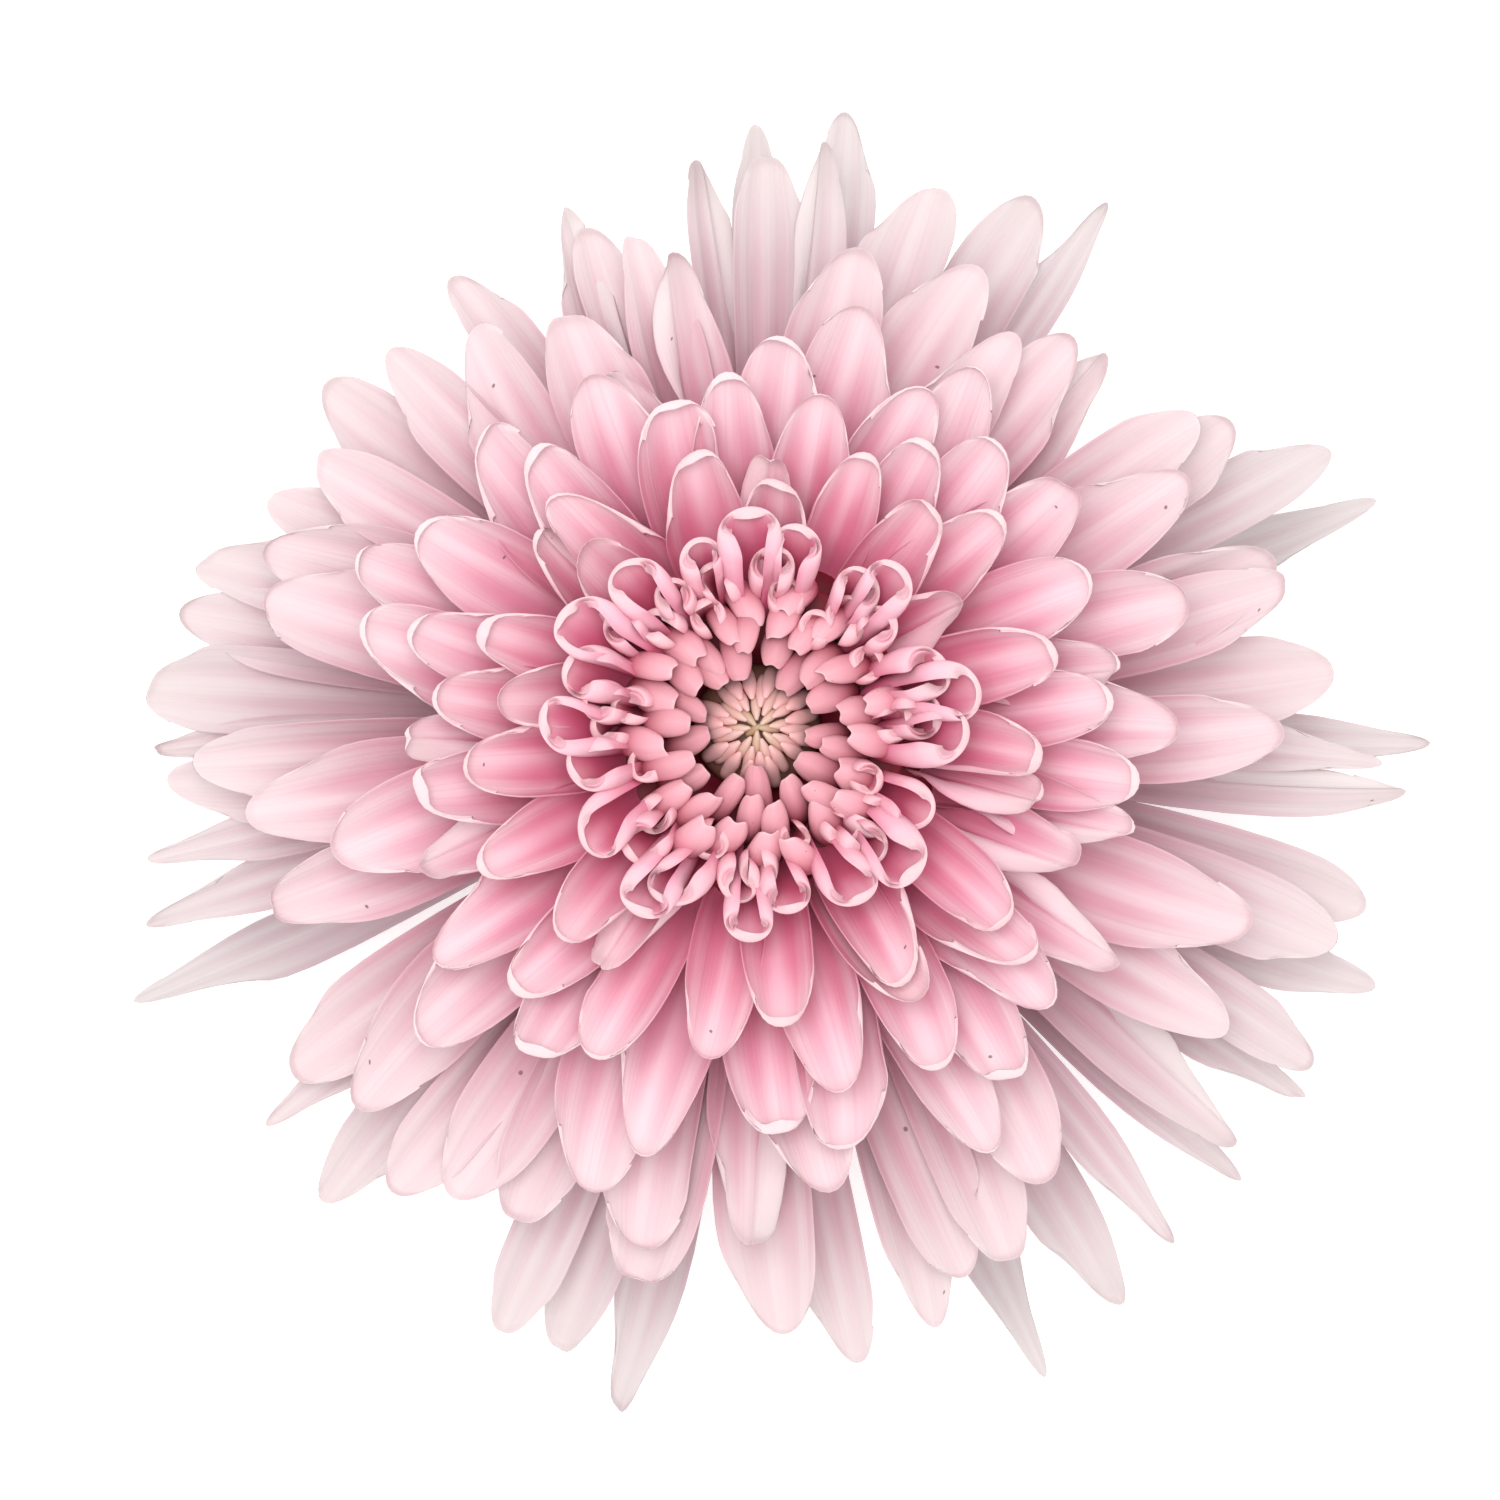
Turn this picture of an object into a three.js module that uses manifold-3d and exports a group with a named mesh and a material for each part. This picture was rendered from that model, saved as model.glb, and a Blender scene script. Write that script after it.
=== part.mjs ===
// A cut football mum lying face up: one large chrysanthemum bloom, cut close under its head.
// Millimetres and degrees. +Z is up, the bloom lies on the surface z = 0, and +Y is the top of its face.
import * as THREE from "three";
import { mergeVertices } from "three/addons/utils/BufferGeometryUtils.js";
import Module from "manifold-3d";

const wasm = await Module();
wasm.setup();

// The bloom's own axis stands at this place, so that the origin is the middle of the footprint.
const AXIS = { x: -2.12, y: 3.8 };

// Florets are ranked by how far their tips reach: low ranks crowd the middle, high ranks lie outermost.
const OUTER_RANK = 65;
const CROWN_RANK = 12;
const UNDERSIDE_RANK = 75;
// Heights of the tips, from the crown down to the outermost rays.
const CROWN_HEIGHT = 52;
const CROWN_DROP = 46;
const CROWN_POWER = 1.9;
const LOWEST_FREE_TIP = 2.2;
// Where a ray of the outer rank leaves the head, and how that changes with each rank inwards.
const ROOT = { reach: 7, reachStep: -0.08, height: 19.5, heightStep: 0.25 };
// The angle at which a ray leaves the head, and the angle of its tip.
const LEAVING = { rank: 18, angle: 74, step: 1.45 };
const ARRIVING = { angle: -34, step: 1, bend: 0.0135 };
// The bloom reaches further on one side, as most do.
const LEAN_SHARE = 0.07;
const LEAN_TOWARDS = -80;
const GOLDEN_ANGLE = 137.508;

// Rays that follow the golden angle. Each zone has its first number, its count and its ranks.
const MIDDLE_RAYS = { first: 84, count: 72, ranks: [26.8, 46] };
const LOWER_RAYS = { first: 168, count: 22, ranks: [49.5, 54] };
// Width across a ray, and half the angle that its channel bends through, against rank.
const WIDTHS = [[25, 7.8], [30, 8.6], [36, 9.6], [45, 10.8]];
const CHANNELS = [[26, 52], [34, 38], [45, 30], [70, 26]];
const BLADE_THICKNESS = 1.1;
// How far chance moves a ray from its rank, its direction, and its direction at the tip.
const RANK_CHANCE = 1.3;
const TURN_CHANCE = 3.5;
const SWEEP_CHANCE = 6;
const OUTERMOST_SWEEP_CHANCE = 3;
// Few rays have a tip that curls right over. The others bend up a little.
const CURLED_SHARE = 0.09;
const CURLED_BEND = 95;
const USUAL_BEND = 8;
// Each second outermost ray stands this much higher, so that neighbours lie over one another.
const NEIGHBOUR_LIFT = 1.2;

// The outermost rays, one row each: direction in degrees, reach and width, how pointed from 0 to 1.
const OUTERMOST_FIRST = 200;
const OUTERMOST_RAYS = [
  [93.6, 58.4, 6, 0.8], [89.3, 61.6, 6, 0.5], [88.2, 57.2, 8.5, 0.2], [83.1, 58.7, 7.5, 0.4],
  [78.6, 61.2, 7, 0.4], [72.8, 56.8, 10.5, 0], [63.7, 58.9, 9.5, 0.2], [56.5, 62.1, 5.5, 0.9],
  [46.7, 52.2, 9.5, 0.1], [36.6, 53.3, 8.5, 0], [29.5, 55.5, 9, 0], [25.1, 63.3, 8, 0.3],
  [18.9, 67.1, 8.5, 1], [12.5, 54.3, 9, 0.3], [4.8, 57.5, 10, 0.1], [-0.6, 62.3, 7, 1],
  [-1.9, 66.3, 7, 1], [-8.2, 64.4, 6.5, 1], [-15, 62.6, 8, 0.1], [-20.2, 61.3, 9.5, 0.1],
  [-25.6, 66.3, 7.5, 0.5], [-29.3, 63.7, 7, 0.3], [-34.8, 66.1, 6, 0.9], [-39.2, 63.6, 10, 0.3],
  [-44.1, 65.6, 6.5, 1], [-51, 65.2, 6, 1], [-57.3, 68.1, 8, 0.6], [-62.2, 58.5, 9.5, 0.2],
  [-66.4, 72, 7, 1], [-70.8, 61.6, 8.5, 0.4], [-83.9, 63.6, 8, 0.3], [-90.2, 59.7, 11, 0.2],
  [-99.7, 69.2, 8, 0.8], [-101, 56.2, 10.5, 0.1], [-106.6, 65.4, 9, 0.3], [-112.3, 65.1, 7.5, 0.2],
  [-118.6, 54.7, 9.5, 0.1], [-126.9, 57.8, 8.5, 0.1], [-134, 63.6, 8, 0.3], [-140.5, 62.4, 5.5, 0.9],
  [-143, 57.3, 10, 0.2], [-154.9, 69.2, 7, 1], [-163.9, 63.9, 7, 1], [-168.4, 62.2, 6, 1],
  [-172, 58.5, 8.5, 0.2], [-176.3, 56, 9, 0.2], [-180.3, 59.7, 5, 0.9], [175, 61.1, 10, 0.1],
  [168.2, 57.9, 9.5, 0.3], [160.3, 58.6, 9, 0.3], [153.5, 53.3, 8.5, 0.1], [148.7, 51.6, 8.5, 0.1],
  [143.7, 54.5, 9.5, 0.1], [134.1, 52, 9, 0.2], [120.9, 54, 7, 0.3], [112.3, 55.6, 7.5, 0.4],
  [108.3, 52.4, 8, 0.2], [102.6, 51.3, 8, 0.5],
];
// Four of the outermost rays sag right down, lie on the surface and lift their tips a little.
const RESTING = { directions: [89.3, 18.9, -66.4, -154.9], tipHeight: 0.75, dip: 6.2, channel: 10 };

// Hooded florets round the middle, and spoon florets round those. Pairs run from the inside outwards.
const HOODS = {
  first: 0,
  count: 46,
  reach: [8.5, 13.8],
  width: [2.3, 3.1],
  thickness: 1.9,
  root: { out: 0.6, height: 42, angle: 88 },
  tip: { in: 3.9, heights: [46.2, 50], angles: [205, 165] },
};
const SPOONS = {
  first: 48,
  count: 30,
  reach: [17.8, 24.6],
  width: [4.8, 6.4],
  thickness: 0.9,
  channel: [108, 84],
  root: { reach: [14.3, 11.6], heights: [43.8, 41.9], angles: [78, 42] },
  tip: { heights: [51.2, 50], angles: [70, 42], curl: [12, 26] },
};

// The closed florets of the very middle, which lie on a low dome with their tips together.
const CENTRE_FLORETS = {
  first: 300,
  count: 40,
  reach: [-0.5, 3],
  length: [2.2, 3.7],
  width: [1, 1.9],
  thickness: 1.1,
};
const DOME = { radius: 6.3, foot: 40.9, rim: 42.6, top: 45.4 };
// The crown's flesh, as [radius, height] points from its rim to the axis, with a hollow for the dome.
const CROWN_TOP = [[14.2, 45], [7.3, 43.2], [7, 40.6], [0, 40.6]];

// Ranks of the two bowl-shaped borders between the pale, the pink and the deep pink florets.
const PALE_BORDER = 47;
const PINK_BORDER = 25.2;
const CLEARANCE = 0.3;
// Shares of a border's path where it has corners, and those where the flesh of each layer ends.
const BORDER_SHARES = [0, 0.4, 0.6, 0.8, 1];
const PALE_LAYER = { low: { rank: UNDERSIDE_RANK, end: 0.08 }, high: { rank: PALE_BORDER, end: 0.4 } };
const PINK_LAYER = { low: { rank: PALE_BORDER, end: 0.4 }, high: { rank: PINK_BORDER, end: 0.6 } };
const ROOT_DEPTH = 0.06;
const TURN_STEPS = 16;
// Above every floret, and wider than the bloom.
const OVER_ALL = 80;
const ROUND_ALL = 200;

// The green parts under the bloom.
const STALK = { sides: 20, ribs: 5, ribDepth: 0.22, ribbedTo: 7 };
const STALK_PROFILE = [[0, 0], [3.3, 0], [3.3, 6.5], [4.4, 8.6], [6.9, 12], [7.6, 16.6], [0, 16.6]];
const BRACT_THICKNESS = 0.9;
const BRACT_ROWS = [
  { count: 13, root: [4, 9.6], tip: [9.4, 13.4], width: 3.6, start: 8, end: 58, turn: 0 },
  { count: 13, root: [5.6, 12.6], tip: [12, 15.4], width: 4, start: 2, end: 40, turn: 14 },
];

const radians = THREE.MathUtils.degToRad;
const mix = THREE.MathUtils.lerp;
const blend = (pair, share) => mix(pair[0], pair[1], share);
const listOf = (count, make) => Array.from({ length: count }, (_, i) => make(i));

// The traits of a floret that are drawn by chance.
const TRAIT = {
  rank: 1,
  turn: 2,
  width: 3,
  roll: 4,
  sweep: 5,
  curled: 6,
  curl: 7,
  height: 8,
  point: 9,
  channel: 10,
};

// A fixed draw from 0 to 1 for one trait of one floret, and a fixed draw either side of zero.
function chance(floret, trait) {
  const x = Math.sin(floret * 12.9898 + trait * 78.233) * 43758.5453;
  return x - Math.floor(x);
}
const either = (floret, trait, amount) => (2 * chance(floret, trait) - 1) * amount;

// Reads a value off a short list of [rank, value] stops.
function read(stops, rank) {
  const last = stops.length - 1;
  if (rank <= stops[0][0]) return stops[0][1];
  if (rank >= stops[last][0]) return stops[last][1];
  const i = stops.findIndex((stop) => rank < stop[0]);
  const [fromRank, from] = stops[i - 1];
  const [toRank, to] = stops[i];
  return mix(from, to, (rank - fromRank) / (toRank - fromRank));
}

// Shares of a path's reach over which it keeps the angles of its root and of its tip.
const LEAD = 0.4;
const LAG = 0.35;

// A curve in the upright plane through the axis, by root, tip and the angle at each end.
// The last part, from curlFrom on, bends further by curl degrees round a plain arc.
function makePath({ root, start, tip, end, lead = LEAD, lag = LAG, curlFrom = 0.8, curl = 0 }) {
  const reach = Math.hypot(tip[0] - root[0], tip[1] - root[1]);
  const points = [
    root,
    [root[0] + lead * reach * Math.cos(radians(start)), root[1] + lead * reach * Math.sin(radians(start))],
    [tip[0] - lag * reach * Math.cos(radians(end)), tip[1] - lag * reach * Math.sin(radians(end))],
    tip,
  ];
  const spline = new THREE.CubicBezierCurve(...points.map(([r, z]) => new THREE.Vector2(r, z)));
  const angleAt = (s) => {
    const way = spline.getTangent(s);
    return Math.atan2(way.y, way.x);
  };
  const curlStart = spline.getPoint(curlFrom);
  const curlAngle = angleAt(curlFrom);
  const curlLength = reach * (1 - curlFrom) * 1.04;
  const at = (s) => {
    if (s <= curlFrom || Math.abs(curl) < 1) {
      const point = spline.getPoint(s);
      return { r: point.x, z: point.y, angle: angleAt(s) };
    }
    const bend = radians(curl);
    const turned = curlAngle + (bend * (s - curlFrom)) / (1 - curlFrom);
    const radius = curlLength / bend;
    return {
      r: curlStart.x + radius * (Math.sin(turned) - Math.sin(curlAngle)),
      z: curlStart.y - radius * (Math.cos(turned) - Math.cos(curlAngle)),
      angle: turned,
    };
  };
  return { at, length: spline.getLength() };
}

// Where a ray of a given rank starts and ends. The lower it grows, the flatter it leaves the head.
function rayShape(rank, stretch) {
  const inwards = OUTER_RANK - rank;
  const outwards = Math.max(0, (rank - CROWN_RANK) / (OUTER_RANK - CROWN_RANK));
  return {
    root: [ROOT.reach + ROOT.reachStep * inwards, ROOT.height + ROOT.heightStep * inwards],
    start: LEAVING.angle - LEAVING.step * (rank - LEAVING.rank),
    tip: [rank * stretch, CROWN_HEIGHT - CROWN_DROP * outwards ** CROWN_POWER],
    end: ARRIVING.angle + ARRIVING.step * inwards + ARRIVING.bend * inwards * inwards,
  };
}

const leanAt = (azimuth) => 1 + LEAN_SHARE * Math.cos(radians(azimuth - LEAN_TOWARDS));

// One ray: its place, its path and the sizes that its blade is made from.
function makeRay({ id, rank, azimuth, reach, width, pointed, lift = 0 }) {
  const rests = RESTING.directions.includes(azimuth);
  const shape = rayShape(rank, reach ? reach / rank : leanAt(azimuth));
  shape.root[1] += lift;
  if (rests) {
    shape.tip[1] = RESTING.tipHeight;
    shape.end = THREE.MathUtils.radToDeg(Math.asin(RESTING.dip / (LAG * reach)));
  } else {
    const curled = chance(id, TRAIT.curled) < CURLED_SHARE;
    shape.tip[1] = Math.max(shape.tip[1] + lift, LOWEST_FREE_TIP + 3 * chance(id, TRAIT.height));
    shape.curl = curled ? CURLED_BEND + either(id, TRAIT.curl, 30) : USUAL_BEND + either(id, TRAIT.curl, 14);
  }
  return {
    azimuth,
    path: makePath(shape),
    width: width ?? read(WIDTHS, rank) * (1 + either(id, TRAIT.width, 0.09)),
    pointed: pointed ?? 0.25 * chance(id, TRAIT.point),
    channel: radians(rests ? RESTING.channel : read(CHANNELS, rank) * (1 + either(id, TRAIT.channel, 0.15))),
    roll: rests ? 0 : radians(either(id, TRAIT.roll, 5)),
    sweep: either(id, TRAIT.sweep, reach ? OUTERMOST_SWEEP_CHANCE : SWEEP_CHANCE),
  };
}

// Rays that follow the golden angle, from the inside of a zone to its outside.
function zoneOfRays({ first, count, ranks }) {
  return listOf(count, (i) => {
    const id = first + i;
    const drawn = blend(ranks, i / (count - 1)) + either(id, TRAIT.rank, RANK_CHANCE);
    const rank = THREE.MathUtils.clamp(drawn, ...ranks);
    return makeRay({ id, rank, azimuth: id * GOLDEN_ANGLE + either(id, TRAIT.turn, TURN_CHANCE) });
  });
}

function outermostRays() {
  return OUTERMOST_RAYS.map(([azimuth, reach, width, pointed], i) => {
    const rank = reach / leanAt(azimuth);
    const lift = i % 2 ? NEIGHBOUR_LIFT : -NEIGHBOUR_LIFT;
    return makeRay({ id: OUTERMOST_FIRST + i, rank, azimuth, reach, width, pointed, lift });
  });
}

// A hooded floret: a plump finger that rises, bulges out and bends over towards the middle.
function makeHood(i) {
  const id = HOODS.first + i;
  const share = i / (HOODS.count - 1);
  const reach = blend(HOODS.reach, share) + either(id, TRAIT.rank, 0.5);
  const tipReach = reach - HOODS.tip.in + either(id, TRAIT.curled, 0.6);
  const shape = {
    root: [reach + HOODS.root.out, HOODS.root.height],
    start: HOODS.root.angle,
    tip: [tipReach, blend(HOODS.tip.heights, share) + either(id, TRAIT.height, 0.5)],
    end: blend(HOODS.tip.angles, share) + either(id, TRAIT.curl, 16),
    lead: 0.85,
    lag: 0.45,
  };
  return {
    azimuth: id * GOLDEN_ANGLE + either(id, TRAIT.turn, 4),
    path: makePath(shape),
    width: blend(HOODS.width, share) * (1 + either(id, TRAIT.width, 0.14)),
    pointed: 0,
    channel: 0.4,
    roll: radians(either(id, TRAIT.roll, 20)),
    sweep: either(id, TRAIT.sweep, 9),
  };
}

// A spoon floret: a tube that opens towards the middle. The inner ones stand nearly upright.
function makeSpoon(i) {
  const id = SPOONS.first + i;
  const share = i / (SPOONS.count - 1);
  const shape = {
    root: [blend(SPOONS.root.reach, share), blend(SPOONS.root.heights, share)],
    start: blend(SPOONS.root.angles, share),
    tip: [blend(SPOONS.reach, share), blend(SPOONS.tip.heights, share) + either(id, TRAIT.height, 0.3)],
    end: blend(SPOONS.tip.angles, share),
    curl: blend(SPOONS.tip.curl, share) + either(id, TRAIT.curl, 10),
  };
  return {
    azimuth: id * GOLDEN_ANGLE + either(id, TRAIT.turn, 4),
    path: makePath(shape),
    width: blend(SPOONS.width, share) * (1 + either(id, TRAIT.width, 0.16)),
    pointed: 0.1,
    channel: radians(blend(SPOONS.channel, share)),
    roll: radians(either(id, TRAIT.roll, 8)),
    sweep: either(id, TRAIT.sweep, 5),
  };
}

const domeHeight = (r) => DOME.top - (DOME.top - DOME.rim) * (r / DOME.radius) ** 2;

// A closed floret of the very middle, lying inwards up the dome.
function makeCentreFloret(i) {
  const { first, count, reach, length, width } = CENTRE_FLORETS;
  const share = i / (count - 1);
  const tipReach = blend(reach, share ** 0.6) + either(first + i, TRAIT.rank, 0.15);
  const rootReach = Math.min(DOME.radius - 0.2, tipReach + blend(length, share));
  const shape = {
    root: [rootReach, domeHeight(rootReach) - 0.5],
    start: 130,
    tip: [tipReach, domeHeight(tipReach) + 0.5 + 0.4 * share],
    end: 180,
  };
  return {
    azimuth: (first + i) * GOLDEN_ANGLE + either(first + i, TRAIT.turn, 5),
    path: makePath(shape),
    width: blend(width, share),
    pointed: 0.5,
    channel: 0.1,
    roll: 0,
    sweep: 0,
  };
}

// The share of a floret's length over which its tip closes.
function closingShare({ width, pointed, path }) {
  return Math.min(0.5, (width * (0.8 + 1.5 * pointed)) / path.length);
}

// The share of its full width at s: narrow at the root, full past the middle, then closing to the tip.
function outline(floret, s) {
  const closing = closingShare(floret);
  const base = 0.3 + 0.7 * THREE.MathUtils.smoothstep(s, 0.05, 0.7);
  const u = Math.max(0, (s - (1 - closing)) / closing);
  const blunt = Math.sqrt(1 - 0.9 * u * u);
  const sharp = 1 - 0.86 * u ** 1.2;
  return base * mix(blunt, sharp, floret.pointed);
}

// The middle of a floret at s, with its local directions across it and up from its face.
function axesAt(floret, s) {
  const { r, z, angle } = floret.path.at(s);
  const azimuth = radians(floret.azimuth + floret.sweep * s * s);
  const out = new THREE.Vector3(Math.cos(azimuth), Math.sin(azimuth), 0);
  const side = new THREE.Vector3(-out.y, out.x, 0);
  const face = out.clone().multiplyScalar(-Math.sin(angle)).setZ(Math.cos(angle));
  const [turn, tilt] = [Math.cos(floret.roll), Math.sin(floret.roll)];
  const across = side.clone().multiplyScalar(turn).addScaledVector(face, tilt);
  const up = face.clone().multiplyScalar(turn).addScaledVector(side, -tilt);
  return { middle: new THREE.Vector3(out.x * r, out.y * r, z), across, up };
}

// The corners of a floret's face and back at s. Both meet at the long edges, where crosses are -1 and 1.
function crossSection(floret, s, crosses, thickness) {
  const { middle, across, up } = axesAt(floret, s);
  const half = 0.5 * floret.width * outline(floret, s);
  const bend = Math.max(0.02, floret.channel * (1.3 - 0.5 * s));
  const radius = half / Math.sin(Math.min(bend, Math.PI / 2));
  const thick = 0.5 * thickness * Math.min(1, half / (0.3 * floret.width));
  const pointAt = (c, side) => {
    const offset = Math.abs(c) === 1 ? 0 : side * thick;
    return middle
      .clone()
      .addScaledVector(across, (radius - offset) * Math.sin(bend * c))
      .addScaledVector(up, radius - (radius - offset) * Math.cos(bend * c));
  };
  return { face: crosses.map((c) => pointAt(c, 1)), back: crosses.map((c) => pointAt(c, -1)) };
}

// The closed skin of a floret, channelled or plump, as a solid.
function bladeOf(floret, { stations, crosses, thickness }) {
  const rows = stations.map((s) => crossSection(floret, s, crosses, thickness));
  const [root, tip] = [rows[0], rows[rows.length - 1]];
  const corners = [];
  const quad = (a, b, c, d) => corners.push(a, b, c, a, c, d);
  for (let j = 0; j + 1 < crosses.length; j++) {
    for (let i = 0; i + 1 < rows.length; i++) {
      const [here, next] = [rows[i], rows[i + 1]];
      quad(here.face[j], next.face[j], next.face[j + 1], here.face[j + 1]);
      // Split along the same diagonal as the face, so that a bent blade never crosses itself.
      quad(next.back[j + 1], next.back[j], here.back[j], here.back[j + 1]);
    }
    quad(root.face[j], root.face[j + 1], root.back[j + 1], root.back[j]);
    quad(tip.face[j + 1], tip.face[j], tip.back[j], tip.back[j + 1]);
  }
  const positions = new THREE.Float32BufferAttribute(corners.flatMap((p) => [p.x, p.y, p.z]), 3);
  return solidOf(new THREE.BufferGeometry().setAttribute("position", positions));
}

// A geometry as a solid. Corners that fall together are merged and empty triangles dropped.
function solidOf(geometry) {
  const bare = geometry.index ? geometry.toNonIndexed() : geometry.clone();
  bare.deleteAttribute("normal");
  bare.deleteAttribute("uv");
  const merged = mergeVertices(bare, 1e-3);
  const triangles = [];
  for (let i = 0; i < merged.index.count; i += 3) {
    const [a, b, c] = merged.index.array.slice(i, i + 3);
    if (a !== b && b !== c && c !== a) triangles.push(a, b, c);
  }
  return new wasm.Manifold(
    new wasm.Mesh({
      numProp: 3,
      vertProperties: new Float32Array(merged.attributes.position.array),
      triVerts: new Uint32Array(triangles),
    }),
  );
}

const fuse = (solids) => solids.reduce((all, next) => all.add(next));

// The largest body of a solid, without the loose scraps that a cut leaves.
function largestBody(solid) {
  return solid.decompose().reduce((best, body) => (body.volume() > best.volume() ? body : best));
}

// Points turned round the axis into a solid.
const lathe = (points) => solidOf(new THREE.LatheGeometry(points, TURN_STEPS).rotateX(Math.PI / 2));

// Points of a border from the axis outwards, along the path of a plain ray of one rank.
function borderPoints(rank, lift, shares) {
  const shape = rayShape(rank, 1);
  const path = makePath(shape);
  const points = shares.map((s) => {
    const { r, z } = path.at(s);
    return new THREE.Vector2(r, z + lift);
  });
  return [new THREE.Vector2(0, shape.root[1] + lift), ...points];
}

// Everything above the border at one rank, as a solid bowl.
function bowlAbove(rank, lift) {
  const rim = borderPoints(rank, lift, BORDER_SHARES);
  const wall = rim[rim.length - 1].x;
  return lathe([...rim, new THREE.Vector2(wall, OVER_ALL), new THREE.Vector2(0, OVER_ALL)]);
}

// The head's flesh between two borders, which one group of florets grows from.
function headLayer({ low, high }) {
  const pointsTo = ({ rank, end }, lift) =>
    borderPoints(rank, lift, [...BORDER_SHARES.filter((share) => share < end), end]);
  return lathe([...pointsTo(low, CLEARANCE / 2), ...pointsTo(high, -CLEARANCE / 2).reverse()]);
}

// The share of a ray's path at which its blade starts, a little before it comes out of the flesh.
function startInside(ray, { low, high }) {
  const [from, to] = [low, high].map(({ rank, end }) => makePath(rayShape(rank, 1)).at(end));
  const isOut = ({ r, z }) => (r - from.r) * (to.z - from.z) > (z - from.z) * (to.r - from.r);
  let share = 0;
  while (!isOut(ray.path.at(share))) share += 0.01;
  return Math.max(0, share - ROOT_DEPTH);
}

// The blades of one layer's rays. The shares between say where a blade has corners before its full width.
function rayBlades(rays, layer, between) {
  return rays.map((ray) => {
    const start = startInside(ray, layer);
    const closing = closingShare(ray);
    const full = 1 - closing;
    const middle = between.map((share) => mix(start, full, share));
    const stations = [start, ...middle, full, full + 0.7 * closing, 1];
    return bladeOf(ray, { stations, crosses: [-1, 0, 1], thickness: BLADE_THICKNESS });
  });
}

// The pale outer rays on the lowest layer of the head. What would sag below the surface is pressed flat.
function paleRays() {
  const rays = [...outermostRays(), ...zoneOfRays(LOWER_RAYS)];
  const grown = fuse([headLayer(PALE_LAYER), ...rayBlades(rays, PALE_LAYER, [0.5])]);
  const space = new THREE.BoxGeometry(ROUND_ALL, ROUND_ALL, OVER_ALL).translate(0, 0, OVER_ALL / 2);
  return largestBody(grown.subtract(bowlAbove(PALE_BORDER, -CLEARANCE / 2)).intersect(solidOf(space)));
}

// The pink rays on the middle layer of the head.
function pinkRays() {
  const grown = fuse([headLayer(PINK_LAYER), ...rayBlades(zoneOfRays(MIDDLE_RAYS), PINK_LAYER, [])]);
  const above = grown.intersect(bowlAbove(PALE_BORDER, CLEARANCE / 2));
  return largestBody(above.subtract(bowlAbove(PINK_BORDER, -CLEARANCE / 2)));
}

// The hoods and spoons, which stand out of the flesh of the crown.
function crownFlorets() {
  const hoodForm = { stations: [0, 0.45, 0.8, 1], crosses: [-1, 0, 1], thickness: HOODS.thickness };
  const spoonForm = {
    stations: [0, 0.55, 0.85, 1],
    crosses: [-1, -0.4, 0.4, 1],
    thickness: SPOONS.thickness,
  };
  const hoods = listOf(HOODS.count, (i) => bladeOf(makeHood(i), hoodForm));
  const spoons = listOf(SPOONS.count, (i) => bladeOf(makeSpoon(i), spoonForm));
  const under = borderPoints(PINK_BORDER, CLEARANCE / 2, [0, 0.4, 0.6]);
  const flesh = lathe([...under, ...CROWN_TOP.map(([r, z]) => new THREE.Vector2(r, z))]);
  return largestBody(fuse([flesh, ...spoons, ...hoods]).intersect(bowlAbove(PINK_BORDER, CLEARANCE / 2)));
}

// The dome of closed florets in the very middle.
function centreFlorets() {
  const slope = [1, 0.55, 0].map((share) => share * DOME.radius);
  const profile = [[0, DOME.foot], [DOME.radius, DOME.foot], ...slope.map((r) => [r, domeHeight(r)])];
  const dome = lathe(profile.map(([r, z]) => new THREE.Vector2(r, z)));
  const form = { stations: [0.1, 1], crosses: [-1, 0, 1], thickness: CENTRE_FLORETS.thickness };
  return fuse([dome, ...listOf(CENTRE_FLORETS.count, (i) => bladeOf(makeCentreFloret(i), form))]);
}

// One green bract of the cup under the bloom, as a small pointed scale.
function bractOf(row, i) {
  const bract = {
    azimuth: (i * 360) / row.count + row.turn,
    path: makePath(row),
    width: row.width,
    pointed: 0.7,
    channel: 0.5,
    roll: 0,
    sweep: 0,
  };
  return bladeOf(bract, { stations: [0, 0.65, 1], crosses: [-1, 0, 1], thickness: BRACT_THICKNESS });
}

// The stalk, ribbed and cut off square just under the bloom, and the cup with its bracts.
function cupAndStalk() {
  const profile = STALK_PROFILE.map(([r, z]) => new THREE.Vector2(r, z));
  const stalk = new THREE.LatheGeometry(profile, STALK.sides).rotateX(Math.PI / 2);
  const place = stalk.attributes.position;
  for (let i = 0; i < place.count; i++) {
    if (place.getZ(i) > STALK.ribbedTo) continue;
    const [x, y] = [place.getX(i), place.getY(i)];
    const rise = 1 + (STALK.ribDepth * Math.cos(STALK.ribs * Math.atan2(y, x))) / STALK_PROFILE[1][0];
    place.setXY(i, x * rise, y * rise);
  }
  const bracts = BRACT_ROWS.flatMap((row) => listOf(row.count, (i) => bractOf(row, i)));
  return fuse([solidOf(stalk), ...bracts]);
}

// A solid as a named mesh of one colour, moved from the bloom's axis to its place in the part.
function meshOf(name, solid, color, roughness) {
  const { vertProperties, triVerts } = solid.getMesh();
  const geometry = new THREE.BufferGeometry();
  geometry.setAttribute("position", new THREE.BufferAttribute(vertProperties, 3));
  geometry.setIndex(Array.from(triVerts));
  const mesh = new THREE.Mesh(geometry, new THREE.MeshStandardMaterial({ color, roughness, metalness: 0 }));
  mesh.name = name;
  mesh.position.set(AXIS.x, AXIS.y, 0);
  return mesh;
}

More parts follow.
